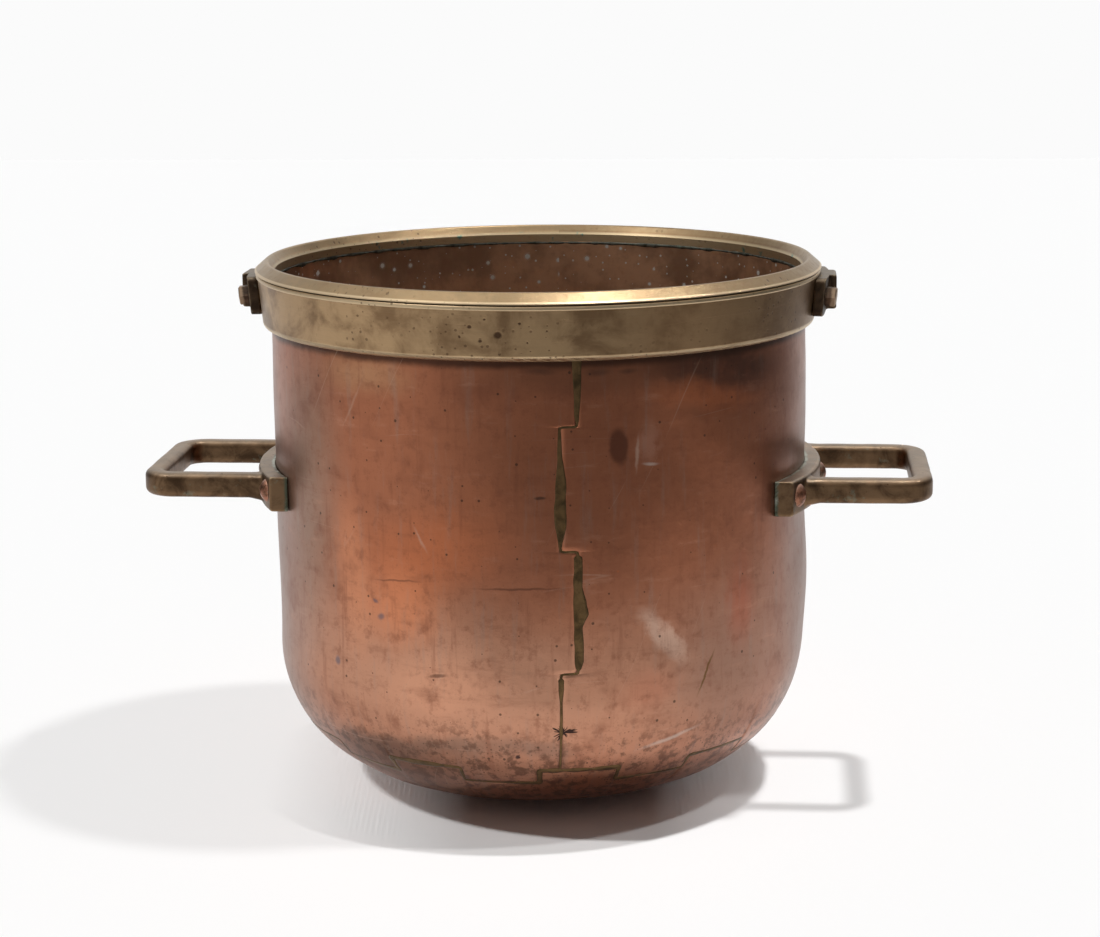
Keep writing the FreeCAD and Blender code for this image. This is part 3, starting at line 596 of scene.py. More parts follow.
def lead(field, socket):
    socket.id_data.links.new(field.socket, socket)


def treeOf(*values):
    return next(value.socket.id_data for value in values if isinstance(value, Field))


def calc(operation, *values):
    return out(put(treeOf(*values), "Math", dict(enumerate(values)), operation=operation))


def blend(factor, first, second):
    # mix of two colours; a plain tuple of three is a colour
    first, second = ((*tone, 1) if isinstance(tone, tuple) else tone for tone in (first, second))
    return out(put(treeOf(factor), "Mix", {0: factor, 6: first, 7: second}, data_type="RGBA"), 2)


def spread(value, low, high):
    # smooth step of a value, 0 at low and 1 at high
    return out(put(treeOf(value), "MapRange", {0: value, 1: low, 2: high}, interpolation_type="SMOOTHSTEP"))


def ramp(value, stops):
    # straight lines between grey levels; stops are pairs of place and level
    node = put(treeOf(value), "ValToRGB", {0: value})
    elements = node.color_ramp.elements
    elements[0].position, elements[1].position = stops[0][0], stops[-1][0]
    elements[0].color, elements[1].color = ((*[level] * 3, 1) for level in (stops[0][1], stops[-1][1]))
    for place, level in stops[1:-1]:
        elements.new(place).color = (*[level] * 3, 1)
    return out(node)


def noise(vector, scale, detail=4.0, rough=0.55, twist=0.0):
    inputs = {"Vector": vector, "Scale": scale, "Detail": detail, "Roughness": rough, "Distortion": twist}
    return out(put(treeOf(vector), "TexNoise", inputs), "Fac")


def triple(x, y, z):
    return out(put(treeOf(x, y, z), "CombineXYZ", {0: x, 1: y, 2: z}))


def split(vector, kind="SeparateXYZ"):
    return [Field(socket) for socket in put(treeOf(vector), kind, {0: vector}).outputs]


def shaderGroup(name, inputs, outputs):
    # a group of nodes with these inputs (None makes a vector) and value outputs
    group = bpy.data.node_groups.new(name, "ShaderNodeTree")
    for label, default in inputs.items():
        kind = "NodeSocketVector" if default is None else "NodeSocketFloat"
        socket = group.interface.new_socket(label, in_out="INPUT", socket_type=kind)
        if default is not None:
            socket.default_value = default
    for label in outputs:
        group.interface.new_socket(label, in_out="OUTPUT", socket_type="NodeSocketFloat")
    entry, leave = group.nodes.new("NodeGroupInput"), group.nodes.new("NodeGroupOutput")
    return group, {label: out(entry, label) for label in inputs}, leave.inputs


def use(group, inputs, tree=None):
    # places a group; the tree is needed where no input is a field
    node = put(tree or treeOf(*inputs.values()), "Group", inputs, node_tree=group)
    return {socket.name: Field(socket) for socket in node.outputs}


def potPlaceGroup():
    # mm round the wall from the front towards the right handle, mm from the axis, mm above the floor
    group, entry, leave = shaderGroup("potPlace", {}, ["Around", "Radius", "Height"])
    x, y, z = split(out(put(group, "TexCoord"), "Object"))
    lead(calc("ARCTAN2", x, y * -1) * copper["radius"], leave["Around"])
    lead(calc("SQRT", x * x + y * y) * 1000, leave["Radius"])
    lead(z * 1000, leave["Height"])
    return group


def turnedBy(entry, aside, above):
    # a place's two parts along and across the direction of the group's input Turn
    turn = calc("RADIANS", entry["Turn"])
    cosine, sine = calc("COSINE", turn), calc("SINE", turn)
    return aside * cosine + above * sine, above * cosine - aside * sine


def spotGroup():
    # 1 inside a turned ellipse, 0 outside, with an edge as wide as the share Soft of its size
    group, entry, leave = shaderGroup("spot", {
        "Around": 0.0, "Height": 0.0, "At Around": 0.0, "At Height": 0.0,
        "Half Width": 1.0, "Half Height": 1.0, "Turn": 0.0, "Soft": 0.3}, ["Mask"])
    wide, tall = turnedBy(entry, entry["Around"] - entry["At Around"], entry["Height"] - entry["At Height"])
    wide, tall = wide / entry["Half Width"], tall / entry["Half Height"]
    away = calc("SQRT", wide * wide + tall * tall)
    lead(spread(away, entry["Soft"] + 1, 1 - entry["Soft"]), leave["Mask"])
    return group


def pitGroup(name, dimensions):
    # scattered dots: cells of a Voronoi pattern, each dot with its own radius;
    # Amount is the share of cells that have one
    inputs = {"Vector": None, "Scale": 100.0, "Amount": 0.3, "Size": 0.3}
    group, entry, leave = shaderGroup(name, inputs, ["Mask", "Ring"])
    where = {"Vector": entry["Vector"], "Scale": entry["Scale"]}
    cells = put(group, "TexVoronoi", where, voronoi_dimensions=dimensions)
    pick, size, _ = split(out(cells, "Color"), "SeparateColor")
    there = calc("LESS_THAN", pick, entry["Amount"])
    away = out(cells, "Distance") / (entry["Size"] * (size * 0.8 + 0.2))
    lead(spread(away, 1.15, 0.75) * there, leave["Mask"])
    lead(spread(away, 2.0, 1.3) * spread(away, 0.8, 1.1) * there, leave["Ring"])
    return group


def scratchGroup():
    # thin broken lines: where a noise, stretched along the turned direction, passes its middle value
    group, entry, leave = shaderGroup("scratches", {
        "Around": 0.0, "Height": 0.0, "Turn": 0.0, "Spacing": 12.0, "Length": 120.0, "Thin": 0.02,
        "Seed": 0.0, "Amount": 0.5}, ["Mask"])
    along, across = turnedBy(entry, entry["Around"], entry["Height"])
    along, across = along / entry["Length"], across / entry["Spacing"]
    line = noise(triple(along, across, entry["Seed"]), 1.0, 1.0, 0.4) - 0.5
    broken = noise(triple(along * 2, across * 0.7, entry["Seed"] + 7), 1.0, 2.0, 0.5)
    share = (1 - entry["Amount"]) * 0.5
    line = spread(calc("ABSOLUTE", line), entry["Thin"], 0.0)
    lead(line * spread(broken, share + 0.2, share + 0.3), leave["Mask"])
    return group


potPlace, spot, scratches = potPlaceGroup(), spotGroup(), scratchGroup()
# pits lie in a solid, dots on the unrolled wall
pits, dots = pitGroup("pits", "3D"), pitGroup("dots", "2D")


def newMaterial(name):
    # a metal, its shader, the object's coordinates and the place on the pot
    material = bpy.data.materials.new(name)
    material.use_nodes = True
    tree = material.node_tree
    shader = tree.nodes["Principled BSDF"]
    shader.inputs["Metallic"].default_value = 1
    return material, shader, out(put(tree, "TexCoord"), "Object"), use(potPlace, {}, tree)


def connect(shader, **sockets):
    names = {"tone": "Base Color", "rough": "Roughness", "metal": "Metallic", "normal": "Normal"}
    for key, value in sockets.items():
        lead(value, shader.inputs[names[key]])


def raised(*heights, strength=1.0):
    # normal from the sum of heights in mm
    total = sum(heights[1:], heights[0])
    return out(put(treeOf(total), "Bump", {"Height": total, "Distance": mm, "Strength": strength}))


def layered(tone, look, fields):
    # lays the look's colours over a tone, each with its share where its field goes from low to high
    for field, low, high, share, colour in look["layers"]:
        tone = blend(spread(fields[field], low, high) * share, tone, look[colour])
    return tone


def dotted(group, vector, look):
    return use(group, {"Vector": vector, "Scale": look[0], "Amount": look[1], "Size": look[2]})


def scratched(place, look):
    labels = ("Turn", "Spacing", "Length", "Thin", "Seed", "Amount")
    where = {"Around": place["Around"], "Height": place["Height"]}
    return use(scratches, {**where, **dict(zip(labels, look))})["Mask"]


def spotMask(around, height, angle, level, halfWidth, halfHeight, soft, turn=0.0):
    return use(spot, {
        "Around": around, "At Around": math.radians(angle) * copper["radius"], "Half Width": halfWidth,
        "Height": height, "At Height": level, "Half Height": halfHeight, "Turn": turn, "Soft": soft})["Mask"]


def spotted(place, spots, tone, rough, wander, reach):
    # lays the listed spots over a colour and a roughness, one after the other; reach scales the wander
    around, height = (wander[k] * reach + place[label] for k, label in enumerate(("Around", "Height")))
    for angle, level, halfWidth, halfHeight, turn, soft, colour, strength, roughness in spots.values():
        mask = spotMask(around, height, angle, level, halfWidth, halfHeight, soft, turn) * strength
        tone = blend(mask, tone, colour)
        rough = out(put(treeOf(mask), "Mix", {0: mask, 2: rough, 3: roughness}))
    return tone, rough


def onSheet(place, position):
    # mm round the wall and up it, and on the bottom mm across it both ways
    x, y, _ = split(position)
    low = calc("LESS_THAN", place["Height"], bottomJoint["height"] - 1)
    return blend(low, triple(place["Around"], place["Height"], 0.0), triple(x * 1000, y * 1000, 0.0))


# Copper

copperLook = {
    "upper": (0.375, 0.140, 0.074), "lower": (0.415, 0.190, 0.118), "turn": (120, 240),
    "polished": (0.600, 0.300, 0.195), "dark": (0.215, 0.078, 0.045), "bright": (0.600, 0.200, 0.090),
    "film": (0.300, 0.230, 0.190), "speck": (0.060, 0.035, 0.025), "line": (0.620, 0.420, 0.320),
    "bandShadow": (0.052, 0.026, 0.018), "black": (0.020, 0.014, 0.014), "rough": 0.32,
    "layers": [             # field, from which value to which it sets in, its share, its colour
        ("wiped", 0.50, 0.74, 0.34, "dark"), ("wiped", 0.44, 0.26, 0.26, "polished"),
        ("streak", 0.52, 0.74, 0.28, "film"), ("streak", 0.46, 0.28, 0.35, "dark"),
        ("middle", 0.52, 0.72, 0.40, "dark"), ("fine", 0.50, 0.72, 0.42, "dark"),
    ],
    "grime": (142, 92),     # heights between which the dark specks set in, going down
    # heights between which the painted shadow under the band sets in
    "underBand": (387.5, 394.0),
    "smallSpecks": (0.30, 0.34, 0.24),      # cells per mm, share of cells with one, size in a cell
    "largeSpecks": (0.07, 0.22, 0.09),
    # turn in degrees, spacing, length, width, seed, share that shows
    "level": (2.0, 16.0, 230.0, 0.010, 1.0, 0.22), "slant": (62.0, 24.0, 260.0, 0.008, 9.0, 0.22),
}
# angle, height, half width, half height, turn, soft edge, colour, strength, roughness
copperSpots = {
    # the lower front lighter: partly the copper's own tone, partly a painted highlight
    "toneAndSheenFront": (-10, 132, 190, 58, 0, 0.75, (0.560, 0.292, 0.186), 0.68, 0.36),
    "filmLeft": (-52, 275, 34, 90, -3, 0.9, (0.300, 0.235, 0.180), 0.55, 0.44),
    # grey film and painted shade at the wall's left and right sides
    "filmAndShadeLeft": (-80, 200, 84, 190, 0, 0.8, (0.235, 0.180, 0.155), 0.75, 0.40),
    "filmAndShadeRight": (84, 200, 74, 190, 0, 0.8, (0.225, 0.165, 0.140), 0.75, 0.40),
    # painted shade: the lower right greyer and darker
    "greyShadeRight": (48, 130, 60, 70, 0, 0.8, (0.290, 0.170, 0.125), 0.70, 0.40),
    "orangeMiddle": (-24.7, 196, 34, 28, 10, 0.7, (0.680, 0.240, 0.110), 0.60, 0.34),
    "orangeHigh": (-15, 240, 60, 26, 6, 0.8, (0.560, 0.170, 0.070), 0.55, 0.36),
    "orangeLow": (-16, 129, 40, 20, 0, 0.8, (0.740, 0.360, 0.220), 0.50, 0.33),
    "orangeLeft": (-37, 210, 16, 52, 5, 0.7, (0.660, 0.270, 0.140), 0.55, 0.36),
    "brownRight": (27, 285, 84, 92, 0, 0.9, (0.260, 0.098, 0.054), 0.55, 0.40),
    "brownMiddle": (4, 225, 50, 36, 0, 0.9, (0.330, 0.140, 0.085), 0.45, 0.40),
    # golden tone and a painted highlight under the band at the left
    "goldAndSheenUnderBand": (-33, 376, 36, 13, 0, 0.8, (0.500, 0.262, 0.138), 0.70, 0.36),
    # painted shadow of the band on the wall below it
    "shadowUnderBand": (14, 382, 84, 13, 0, 0.6, (0.190, 0.080, 0.045), 0.65, 0.42),
    # painted shadow of the band at the right, with some tarnish
    "shadowAndTarnishWedge": (44, 380, 64, 17, -7, 0.5, (0.085, 0.040, 0.028), 0.88, 0.42),
    # orange tone and painted light just below that shadow
    "orangeLitWedge": (42, 358, 46, 10, -8, 0.7, (0.480, 0.150, 0.065), 0.60, 0.38),
    "wornOval": (30.4, 168, 25, 8.5, -44, 0.5, (0.620, 0.400, 0.300), 0.80, 0.40),
    "palePatch": (27.0, 325, 9, 14, 0, 0.60, (0.420, 0.210, 0.145), 0.55, 0.42),
    "grimeLeft": (-33, 70, 46, 8, 5, 0.8, (0.200, 0.125, 0.095), 0.65, 0.48),
    "grimeMiddle": (-14, 78, 44, 7, 0, 0.8, (0.215, 0.135, 0.100), 0.60, 0.48),
    "grimeRight": (3, 82, 30, 7, -5, 0.8, (0.230, 0.140, 0.105), 0.55, 0.48),
    # painted reflection of the shadowed floor, darkening the low front left
    "reflectedShadeFoot": (-34, 46, 78, 26, 0, 0.8, (0.110, 0.060, 0.042), 0.78, 0.50),
    "redEdge": (50.3, 186, 14, 30, 0, 0.8, (0.420, 0.110, 0.060), 0.50, 0.38),
    "redLow": (27, 128, 22, 12, 0, 0.8, (0.520, 0.200, 0.120), 0.40, 0.36),
}
# the same, for small marks with firm edges
copperMarks = {
    "darkPatch": (20.8, 325, 7.6, 14.0, 4, 0.25, (0.110, 0.042, 0.026), 0.85, 0.42),
    "paleEdge": (24.6, 318, 1.2, 11, -4, 0.8, (0.560, 0.400, 0.310), 0.50, 0.45),
    "whiteCurve": (27.5, 309, 5.5, 1.1, -6, 0.8, (0.620, 0.540, 0.480), 0.50, 0.45),
    "dash": (5.0, 286, 4.5, 1.3, 0, 0.5, (0.050, 0.030, 0.022), 0.80, 0.50),
    # painted shade of a crease
    "creaseShade": (0.3, 213, 29, 0.9, 1, 0.6, (0.120, 0.050, 0.032), 0.70, 0.45),
    "dashLine": (-25.5, 214, 18, 0.7, 3, 0.6, (0.140, 0.062, 0.040), 0.60, 0.45),
    "blueOne": (-29.5, 182, 3.4, 2.2, 20, 0.6, (0.095, 0.105, 0.140), 0.60, 0.50),
    "blueTwo": (-30.7, 195, 2.6, 1.6, -30, 0.6, (0.095, 0.105, 0.140), 0.55, 0.50),
    "curl": (-42.2, 138, 3.0, 3.6, 0, 0.5, (0.110, 0.120, 0.160), 0.60, 0.50),
    # painted shade of a dent
    "dentShade": (-16.4, 140, 7, 1.3, 10, 0.5, (0.100, 0.045, 0.030), 0.65, 0.45),
    # three dark marks just under the band
    "underBandMarkOne": (5.2, 385, 10, 2.2, 0, 0.8, (0.080, 0.040, 0.028), 0.60, 0.50),
    "underBandMarkTwo": (16.6, 384, 9, 2.4, 0, 0.8, (0.080, 0.040, 0.028), 0.62, 0.50),
    "underBandMarkThree": (22.7, 383, 6, 1.8, 0, 0.8, (0.080, 0.040, 0.028), 0.58, 0.50),
    "whiteMark": (-19.8, 249, 1.0, 9, 30, 0.8, (0.580, 0.400, 0.310), 0.34, 0.42),
    "highScratch": (-36, 351, 0.9, 17, -30, 0.8, (0.560, 0.360, 0.260), 0.28, 0.42),
    "brownScratch": (40.7, 133, 1.0, 17, -25, 0.5, (0.160, 0.085, 0.032), 0.85, 0.45),
    "whiteScratch": (33.0, 82, 1.5, 21, -76, 0.8, (0.600, 0.500, 0.430), 0.50, 0.50),
    "dot": (-0.4, 73, 1.7, 1.7, 0, 0.4, (0.050, 0.030, 0.030), 0.90, 0.60),
}
starSpot = {"angle": 9.2, "height": 96, "size": 4.3}


def starMask(around, height):
    # a black spot with ragged rays: its edge runs out and in with the direction from its middle
    aside = around - math.radians(starSpot["angle"]) * copper["radius"]
    above = height - starSpot["height"]
    away = calc("SQRT", aside * aside + above * above)
    direction = calc("ARCTAN2", above, aside)
    rays = noise(triple(calc("COSINE", direction), calc("SINE", direction), 2.0), 2.6, 2.0, 0.8)
    reach = calc("POWER", rays, 3.0) * (starSpot["size"] * 9)
    return spread(away - reach, 0.8, -0.5)


def copperOutside():
    look = copperLook
    material, shader, position, place = newMaterial("copperOutside")
    around, height = place["Around"], place["Height"]
    broad = noise(position, 7.0, 3.0, 0.55)
    middle = noise(position, 26.0, 4.0, 0.62)
    fine = noise(position, 105.0, 5.0, 0.68)
    streak = noise(triple(around * 0.10, height * 0.009, 3.0), 1.0, 4.0, 0.68)
    wiped = noise(triple(around * 0.022, height * 0.085, 5.0), 1.0, 6.0, 0.68)
    wander = [fine * 18 - 9, middle * 26 - 13]
    # brighter below, darker and browner above
    tone = blend(spread(broad * 140 + height - 70, *look["turn"]), look["lower"], look["upper"])
    tone = blend(spread(broad, 0.52, 0.72) * 0.35, tone, look["bright"])
    rough = fine * 0.14 + middle * 0.12 + (look["rough"] - 0.12)
    tone, rough = spotted(place, copperSpots, tone, rough, wander, 1.0)
    tone = layered(tone, look, {"wiped": wiped, "streak": streak, "middle": middle, "fine": fine})
    # dark specks, crowded in the grime low on the body
    sheet = onSheet(place, position)
    low = spread(middle * 60 + height, *look["grime"])
    small, large = (dotted(dots, sheet, look[size])["Mask"] for size in ("smallSpecks", "largeSpecks"))
    grit = spread(fine, 0.47, 0.60) * (low * 0.55)
    speck = calc("MAXIMUM", calc("MAXIMUM", small * (low * 0.55 + 0.12), large * 0.75), grit)
    tone = blend(speck, tone, look["speck"])
    tone, rough = spotted(place, copperMarks, tone, rough, wander, 0.24)
    # painted shadow: a dark strip on the wall just under the band
    tone = blend(spread(middle * 6 + height, *look["underBand"]) * 0.88, tone, look["bandShadow"])
    tone = blend(starMask(around, height) * 0.95, tone, look["black"])
    lines = calc("MAXIMUM", scratched(place, look["level"]), scratched(place, look["slant"]))
    tone = blend(lines * 0.22, tone, look["line"])
    connect(shader, tone=tone, rough=rough, normal=raised(middle * 0.55, fine * 0.10, strength=0.8))
    return material


insideLook = {
    "flat": (0.520, 0.300, 0.178), "dark": (0.270, 0.150, 0.086), "lime": (0.860, 0.860, 0.810),
    "rough": 0.42, "metallic": 0.75,
    "layers": [("middle", 0.38, 0.66, 1.0, "dark"), ("fine", 0.5, 0.7, 0.45, "dark")],
    "limeSpots": (0.062, 0.42, 0.145), "limeDust": (0.14, 0.30, 0.15),
}


def copperInside():
    look = insideLook
    material, shader, position, place = newMaterial("copperInside")
    middle = noise(position, 20.0, 4.0, 0.6)
    fine = noise(position, 90.0, 4.0, 0.65)
    tone = layered(look["flat"], look, {"middle": middle, "fine": fine})
    # spots and dust of lime, the spots with a faint ring round them
    sheet = onSheet(place, position)
    spots = dotted(dots, sheet, look["limeSpots"])
    lime = calc("MINIMUM", calc("MAXIMUM", spots["Mask"] * 2.4, spots["Ring"] * 0.15), 1.0)
    lime = calc("MAXIMUM", lime, dotted(dots, sheet, look["limeDust"])["Mask"] * 0.7)
    tone = blend(lime, tone, look["lime"])
    connect(
        shader, tone=tone, rough=middle * 0.16 + look["rough"], metal=(1 - lime) * look["metallic"],
        normal=raised(middle * 0.6, fine * 0.12))
    return material


outside, inside = copperOutside(), copperInside()
for sheetPiece in (wall, bottom):
    sheetPiece.data.materials.append(outside)
    sheetPiece.data.materials.append(inside)
print("copper finished")

# Brass ring

ringLook = {
    "band": (0.430, 0.285, 0.155), "bandDark": (0.185, 0.108, 0.055), "worn": (0.315, 0.225, 0.125),
    # the edge colour is a painted highlight on the lip's bead and the band's lower edge, the groove colour
    # painted shade
    "edge": (0.640, 0.490, 0.310), "groove": (0.060, 0.036, 0.020), "inner": (0.500, 0.390, 0.240),
    "pit": (0.060, 0.030, 0.018), "verdigris": (0.16, 0.27, 0.22), "rough": 0.31,
    "layers": [("middle", 0.40, 0.66, 0.85, "bandDark"), ("lathe", 0.45, 0.7, 0.25, "worn")],
    "smallPits": (0.16, 0.50, 0.20), "scratches": (2.0, 9.0, 140.0, 0.012, 3.0, 0.4),
    "rolledBy": 3.2,        # how far the band's lower edge seems rolled in
}
# heights and radii in mm between which each part of the ring sets in
ringZones = {
    "crest": (437.6, 438.6), "outside": (222.6, 224.4), "bore": (223.4, 222.0),
    "bead": (432.8, 433.6), "beadOut": (236.2, 236.8), "foot": (399.4, 397.0), "rolled": (398.2, 392.8),
    "grooveLow": (436.9, 437.1), "grooveHigh": (438.3, 438.1), "grooveIn": (236.6, 236.0),
}
ringPits = {
    # angle, height, half width, half height of the dark spots on the band
    "largest": (-2.6, 415, 3.0, 2.6), "one": (-8, 421, 1.7, 1.4), "two": (-6, 410, 1.3, 1.2),
    "three": (1.5, 424, 1.2, 1.1), "four": (-5, 427, 1.0, 0.9), "five": (2.8, 409, 0.9, 0.9),
    "six": (-10, 413, 0.9, 1.2), "seven": (6.5, 418, 0.9, 0.8),
}


def rimBrass():
    look = ringLook
    material, shader, position, place = newMaterial("rimBrass")
    around, height, radius = place["Around"], place["Height"], place["Radius"]

    def zone(value, name):
        return spread(value, *ringZones[name])

    middle = noise(position, 26.0, 5.0, 0.62, 0.4)
    fine = noise(position, 140.0, 5.0, 0.65)
    lathe = noise(triple(around * 0.02, height * 1.6, radius * 1.6), 1.0, 3.0, 0.6)
    tone = layered(look["band"], look, {"middle": middle, "lathe": lathe})
    # darker to the right: painted shade
    tone = blend(spread(middle * 60 + around, 50, 150) * 0.65, tone, look["bandDark"])
    # the crest takes the worn tone; so do the lip's bead and the band's lower edge, which then get a painted
    # highlight
    outer = zone(radius, "outside")
    bead = zone(height, "bead") * zone(radius, "beadOut")
    highlightEdges = calc("MAXIMUM", bead, zone(middle * 2 + height, "foot"))
    worn = calc("MAXIMUM", zone(fine * 1.2 + height, "crest") * outer, highlightEdges * 0.75)
    worn = worn * (spread(fine, 0.62, 0.36) * 0.4 + 0.6)
    tone = blend(worn, tone, look["worn"])
    tone = blend(highlightEdges * 0.8, tone, look["edge"])
    # painted shade in the groove under the lip
    groove = zone(height, "grooveLow") * zone(height, "grooveHigh") * zone(radius, "grooveIn") * outer
    tone = blend(groove, tone, look["groove"])
    bore = zone(radius, "bore")
    tone = blend(bore, tone, look["inner"])
    tone = blend(bore * spread(noise(position, 60.0, 4.0, 0.7), 0.60, 0.68), tone, look["verdigris"])
    # dark spots on the band: the listed ones, and small ones that crowd here and there
    crowd = spread(noise(position, 11.0, 2.0, 0.5), 0.42, 0.62)
    sheet = triple(around, height, 0.0)
    dark = dotted(dots, sheet, look["smallPits"])["Mask"] * (crowd * 0.6 + 0.12)
    ragged = fine * 3 + around - 1.5
    for angle, level, halfWidth, halfHeight in ringPits.values():
        dark = calc("MAXIMUM", dark, spotMask(ragged, height, angle, level, halfWidth, halfHeight, 0.35))
    tone = blend(dark * 0.85, tone, look["pit"])
    rolled = zone(height, "rolled") * outer * -look["rolledBy"]
    lines = scratched(place, look["scratches"])
    normal = raised(rolled, lathe * 0.03, fine * 0.05, middle * 0.25, dark * -0.2, lines * -0.04)
    connect(shader, tone=tone, rough=fine * 0.16 + worn * -0.02 + look["rough"], normal=normal)
    return material


# Bronze of the handles and lugs, copper of the rivets, metal of the bolts, brass and solder of the joints

metals = {
    # tones in the hollows, on the flats, on rubbed edges with a painted highlight, and on top with dust and a
    # painted highlight; roughness, scale of the blotches, and the shares of pits, of green places and of
    # green crust at the wall
    "bronze": {
        "hollow": (0.070, 0.040, 0.022), "flat": (0.205, 0.124, 0.068),
        "rubbedAndSheen": (0.520, 0.380, 0.235), "top": (0.430, 0.335, 0.240),
        "rough": 0.42, "scale": 45.0, "pits": 0.34, "green": 0.25, "crust": 0.8},
    "lugBronze": {
        "hollow": (0.035, 0.022, 0.015), "flat": (0.090, 0.058, 0.036),
        "rubbedAndSheen": (0.36, 0.27, 0.17), "top": (0.30, 0.24, 0.17),
        "rough": 0.45, "scale": 70.0, "pits": 0.12, "green": 0.2, "crust": 0.0},
    "rivetCopper": {
        "hollow": (0.10, 0.050, 0.030), "flat": (0.36, 0.155, 0.095),
        "rubbedAndSheen": (0.60, 0.40, 0.30), "top": (0.50, 0.30, 0.22),
        "rough": 0.40, "scale": 160.0, "pits": 0.10, "green": 0.3, "crust": 0.0},
    "boltMetal": {
        "hollow": (0.030, 0.020, 0.014), "flat": (0.105, 0.062, 0.040),
        "rubbedAndSheen": (0.34, 0.24, 0.16), "top": (0.34, 0.28, 0.22),
        "rough": 0.45, "scale": 120.0, "pits": 0.1, "green": 0.1, "crust": 0.0},
    "seamBrass": {
        "hollow": (0.070, 0.046, 0.022), "flat": (0.172, 0.104, 0.047),
        "rubbedAndSheen": (0.260, 0.190, 0.095), "top": (0.180, 0.125, 0.058),
        "rough": 0.38, "scale": 90.0, "pits": 0.15, "green": 0.0, "crust": 0.0},
    "solder": {
        "hollow": (0.040, 0.045, 0.035), "flat": (0.16, 0.17, 0.14),
        "rubbedAndSheen": (0.38, 0.40, 0.36), "top": (0.40, 0.42, 0.37),
        "rough": 0.5, "scale": 150.0, "pits": 0.1, "green": 0.7, "crust": 0.0},
}
greens = {
    "crustDark": (0.060, 0.095, 0.070), "crustPale": (0.460, 0.500, 0.420), "verdigris": (0.22, 0.30, 0.24),
}
crustZone = (231.4, 228.6)      # radii between which the crust sets in, going in


def oldMetal(name):
    look = metals[name]
    material, shader, position, place = newMaterial(name)
    geometry = put(shader.id_data, "NewGeometry")
    bulge = out(geometry, "Pointiness")
    middle = noise(position, look["scale"], 5.0, 0.62, 0.5)
    fine = noise(position, look["scale"] * 5, 5.0, 0.65)
    tone = blend(spread(middle, 0.36, 0.68), look["flat"], look["hollow"])
    up = split(out(geometry, "Normal"))[2]
    # dust and a painted highlight on faces that look up
    tone = blend(spread(up, 0.35, 0.95) * (fine * 0.8 + 0.2) * 0.8, tone, look["top"])
    # rubbed edges, with a painted highlight on them
    tone = blend(spread(fine * 0.06 + bulge, 0.555, 0.61) * 0.85, tone, look["rubbedAndSheen"])
    tone = blend(spread(bulge, 0.485, 0.43) * 0.6, tone, look["hollow"])
    # a pale green crust where a casting meets the wall
    crust = spread(fine * 4 + place["Radius"], *crustZone) * look["crust"]
    tone = blend(crust, tone, blend(spread(middle, 0.42, 0.58), greens["crustDark"], greens["crustPale"]))
    greenPlaces = spread(noise(position, 70.0, 4.0, 0.7), 0.60, 0.70) * look["green"]
    tone = blend(greenPlaces, tone, greens["verdigris"])
    holes = dotted(pits, position, (230.0, look["pits"], 0.2))["Mask"]
    tone = blend(holes * 0.7, tone, look["hollow"])
    connect(
        shader, tone=tone, rough=fine * 0.2 + (look["rough"] - 0.08),
        normal=raised(middle * 0.35, fine * 0.10, holes * -0.15))
    return material


finish = {name: oldMetal(name) for name in metals}
finish["rimBrass"] = rimBrass()
for name, piece in cast.items():
    piece.data.materials.append(finish["bronze" if name.startswith("handle") else "lugBronze"])
for name, metal in {"sideSeam": "seamBrass", "bottomSeam": "seamBrass", "rimSolder": "solder"}.items():
    bpy.data.objects[name].data.materials.append(finish[metal])
for name, piece in nodes.items():
    for start, metal in {"rivet": "rivetCopper", "lug_bolt": "boltMetal", "rim_ring": "rimBrass"}.items():
        if name.startswith(start):
            piece.material_slots[0].material = finish[metal]
print("metals finished")

# Camera

shot = {"place": (0.1926, -2.1916, 0.7205), "yaw": 4.8, "pitch": 0.2051, "roll": -0.0084, "lens": 85.74}


def placeCamera():
    # right, up and back are the camera's axes: forward looks yaw degrees left of +Y and pitch below the level
    camera = addObject("camera", bpy.data.cameras.new("camera"))
    yaw, pitch = math.radians(shot["yaw"]), shot["pitch"]
    right = Vector((math.cos(yaw), math.sin(yaw), 0))
    forward = Vector((-math.sin(yaw) * math.cos(pitch), math.cos(yaw) * math.cos(pitch), -math.sin(pitch)))
    axes = Matrix((right, right.cross(forward), -forward)).transposed().to_4x4()
    camera.matrix_world = Matrix.Translation(shot["place"]) @ axes @ Matrix.Rotation(shot["roll"], 4, "Z")
    camera.data.lens = shot["lens"]
    camera.data.sensor_width = 36
    camera.data.clip_end = 50
    scene.camera = camera


placeCamera()

# Studio: a white sweep for the camera, a weak even light on rough surfaces, and for mirrored rays
# a room that is white above and behind, with a dim front where the camera stands

studio = {
    # the floor ends in front, and at the sides outside the picture, so the wall mirrors a darker room
    "floor": {"front": -0.78, "left": -2.4, "right": 1.3, "back": 6.0, "tone": 0.93},
    "background": 0.965, "ambient": 0.10,
    # brightness round the horizon by angle from the camera's side towards the right, in degrees
    "round": [
        (-180, 0.95), (-154, 0.95), (-140, 0.50), (-120, 0.20), (-100, 0.34), (-82, 0.46), (-66, 0.74),
        (-50, 0.68), (-34, 0.46), (-18, 0.33), (0, 0.25), (22, 0.23), (40, 0.17), (70, 0.09), (114, 0.07),
        (134, 0.25), (150, 0.95), (180, 0.95)],
    # brightness above and below, and the rise and fall of a ray between which it sets in
    "above": (0.85, 0.25, 0.75), "below": (0.9, -0.35, -0.75),
}


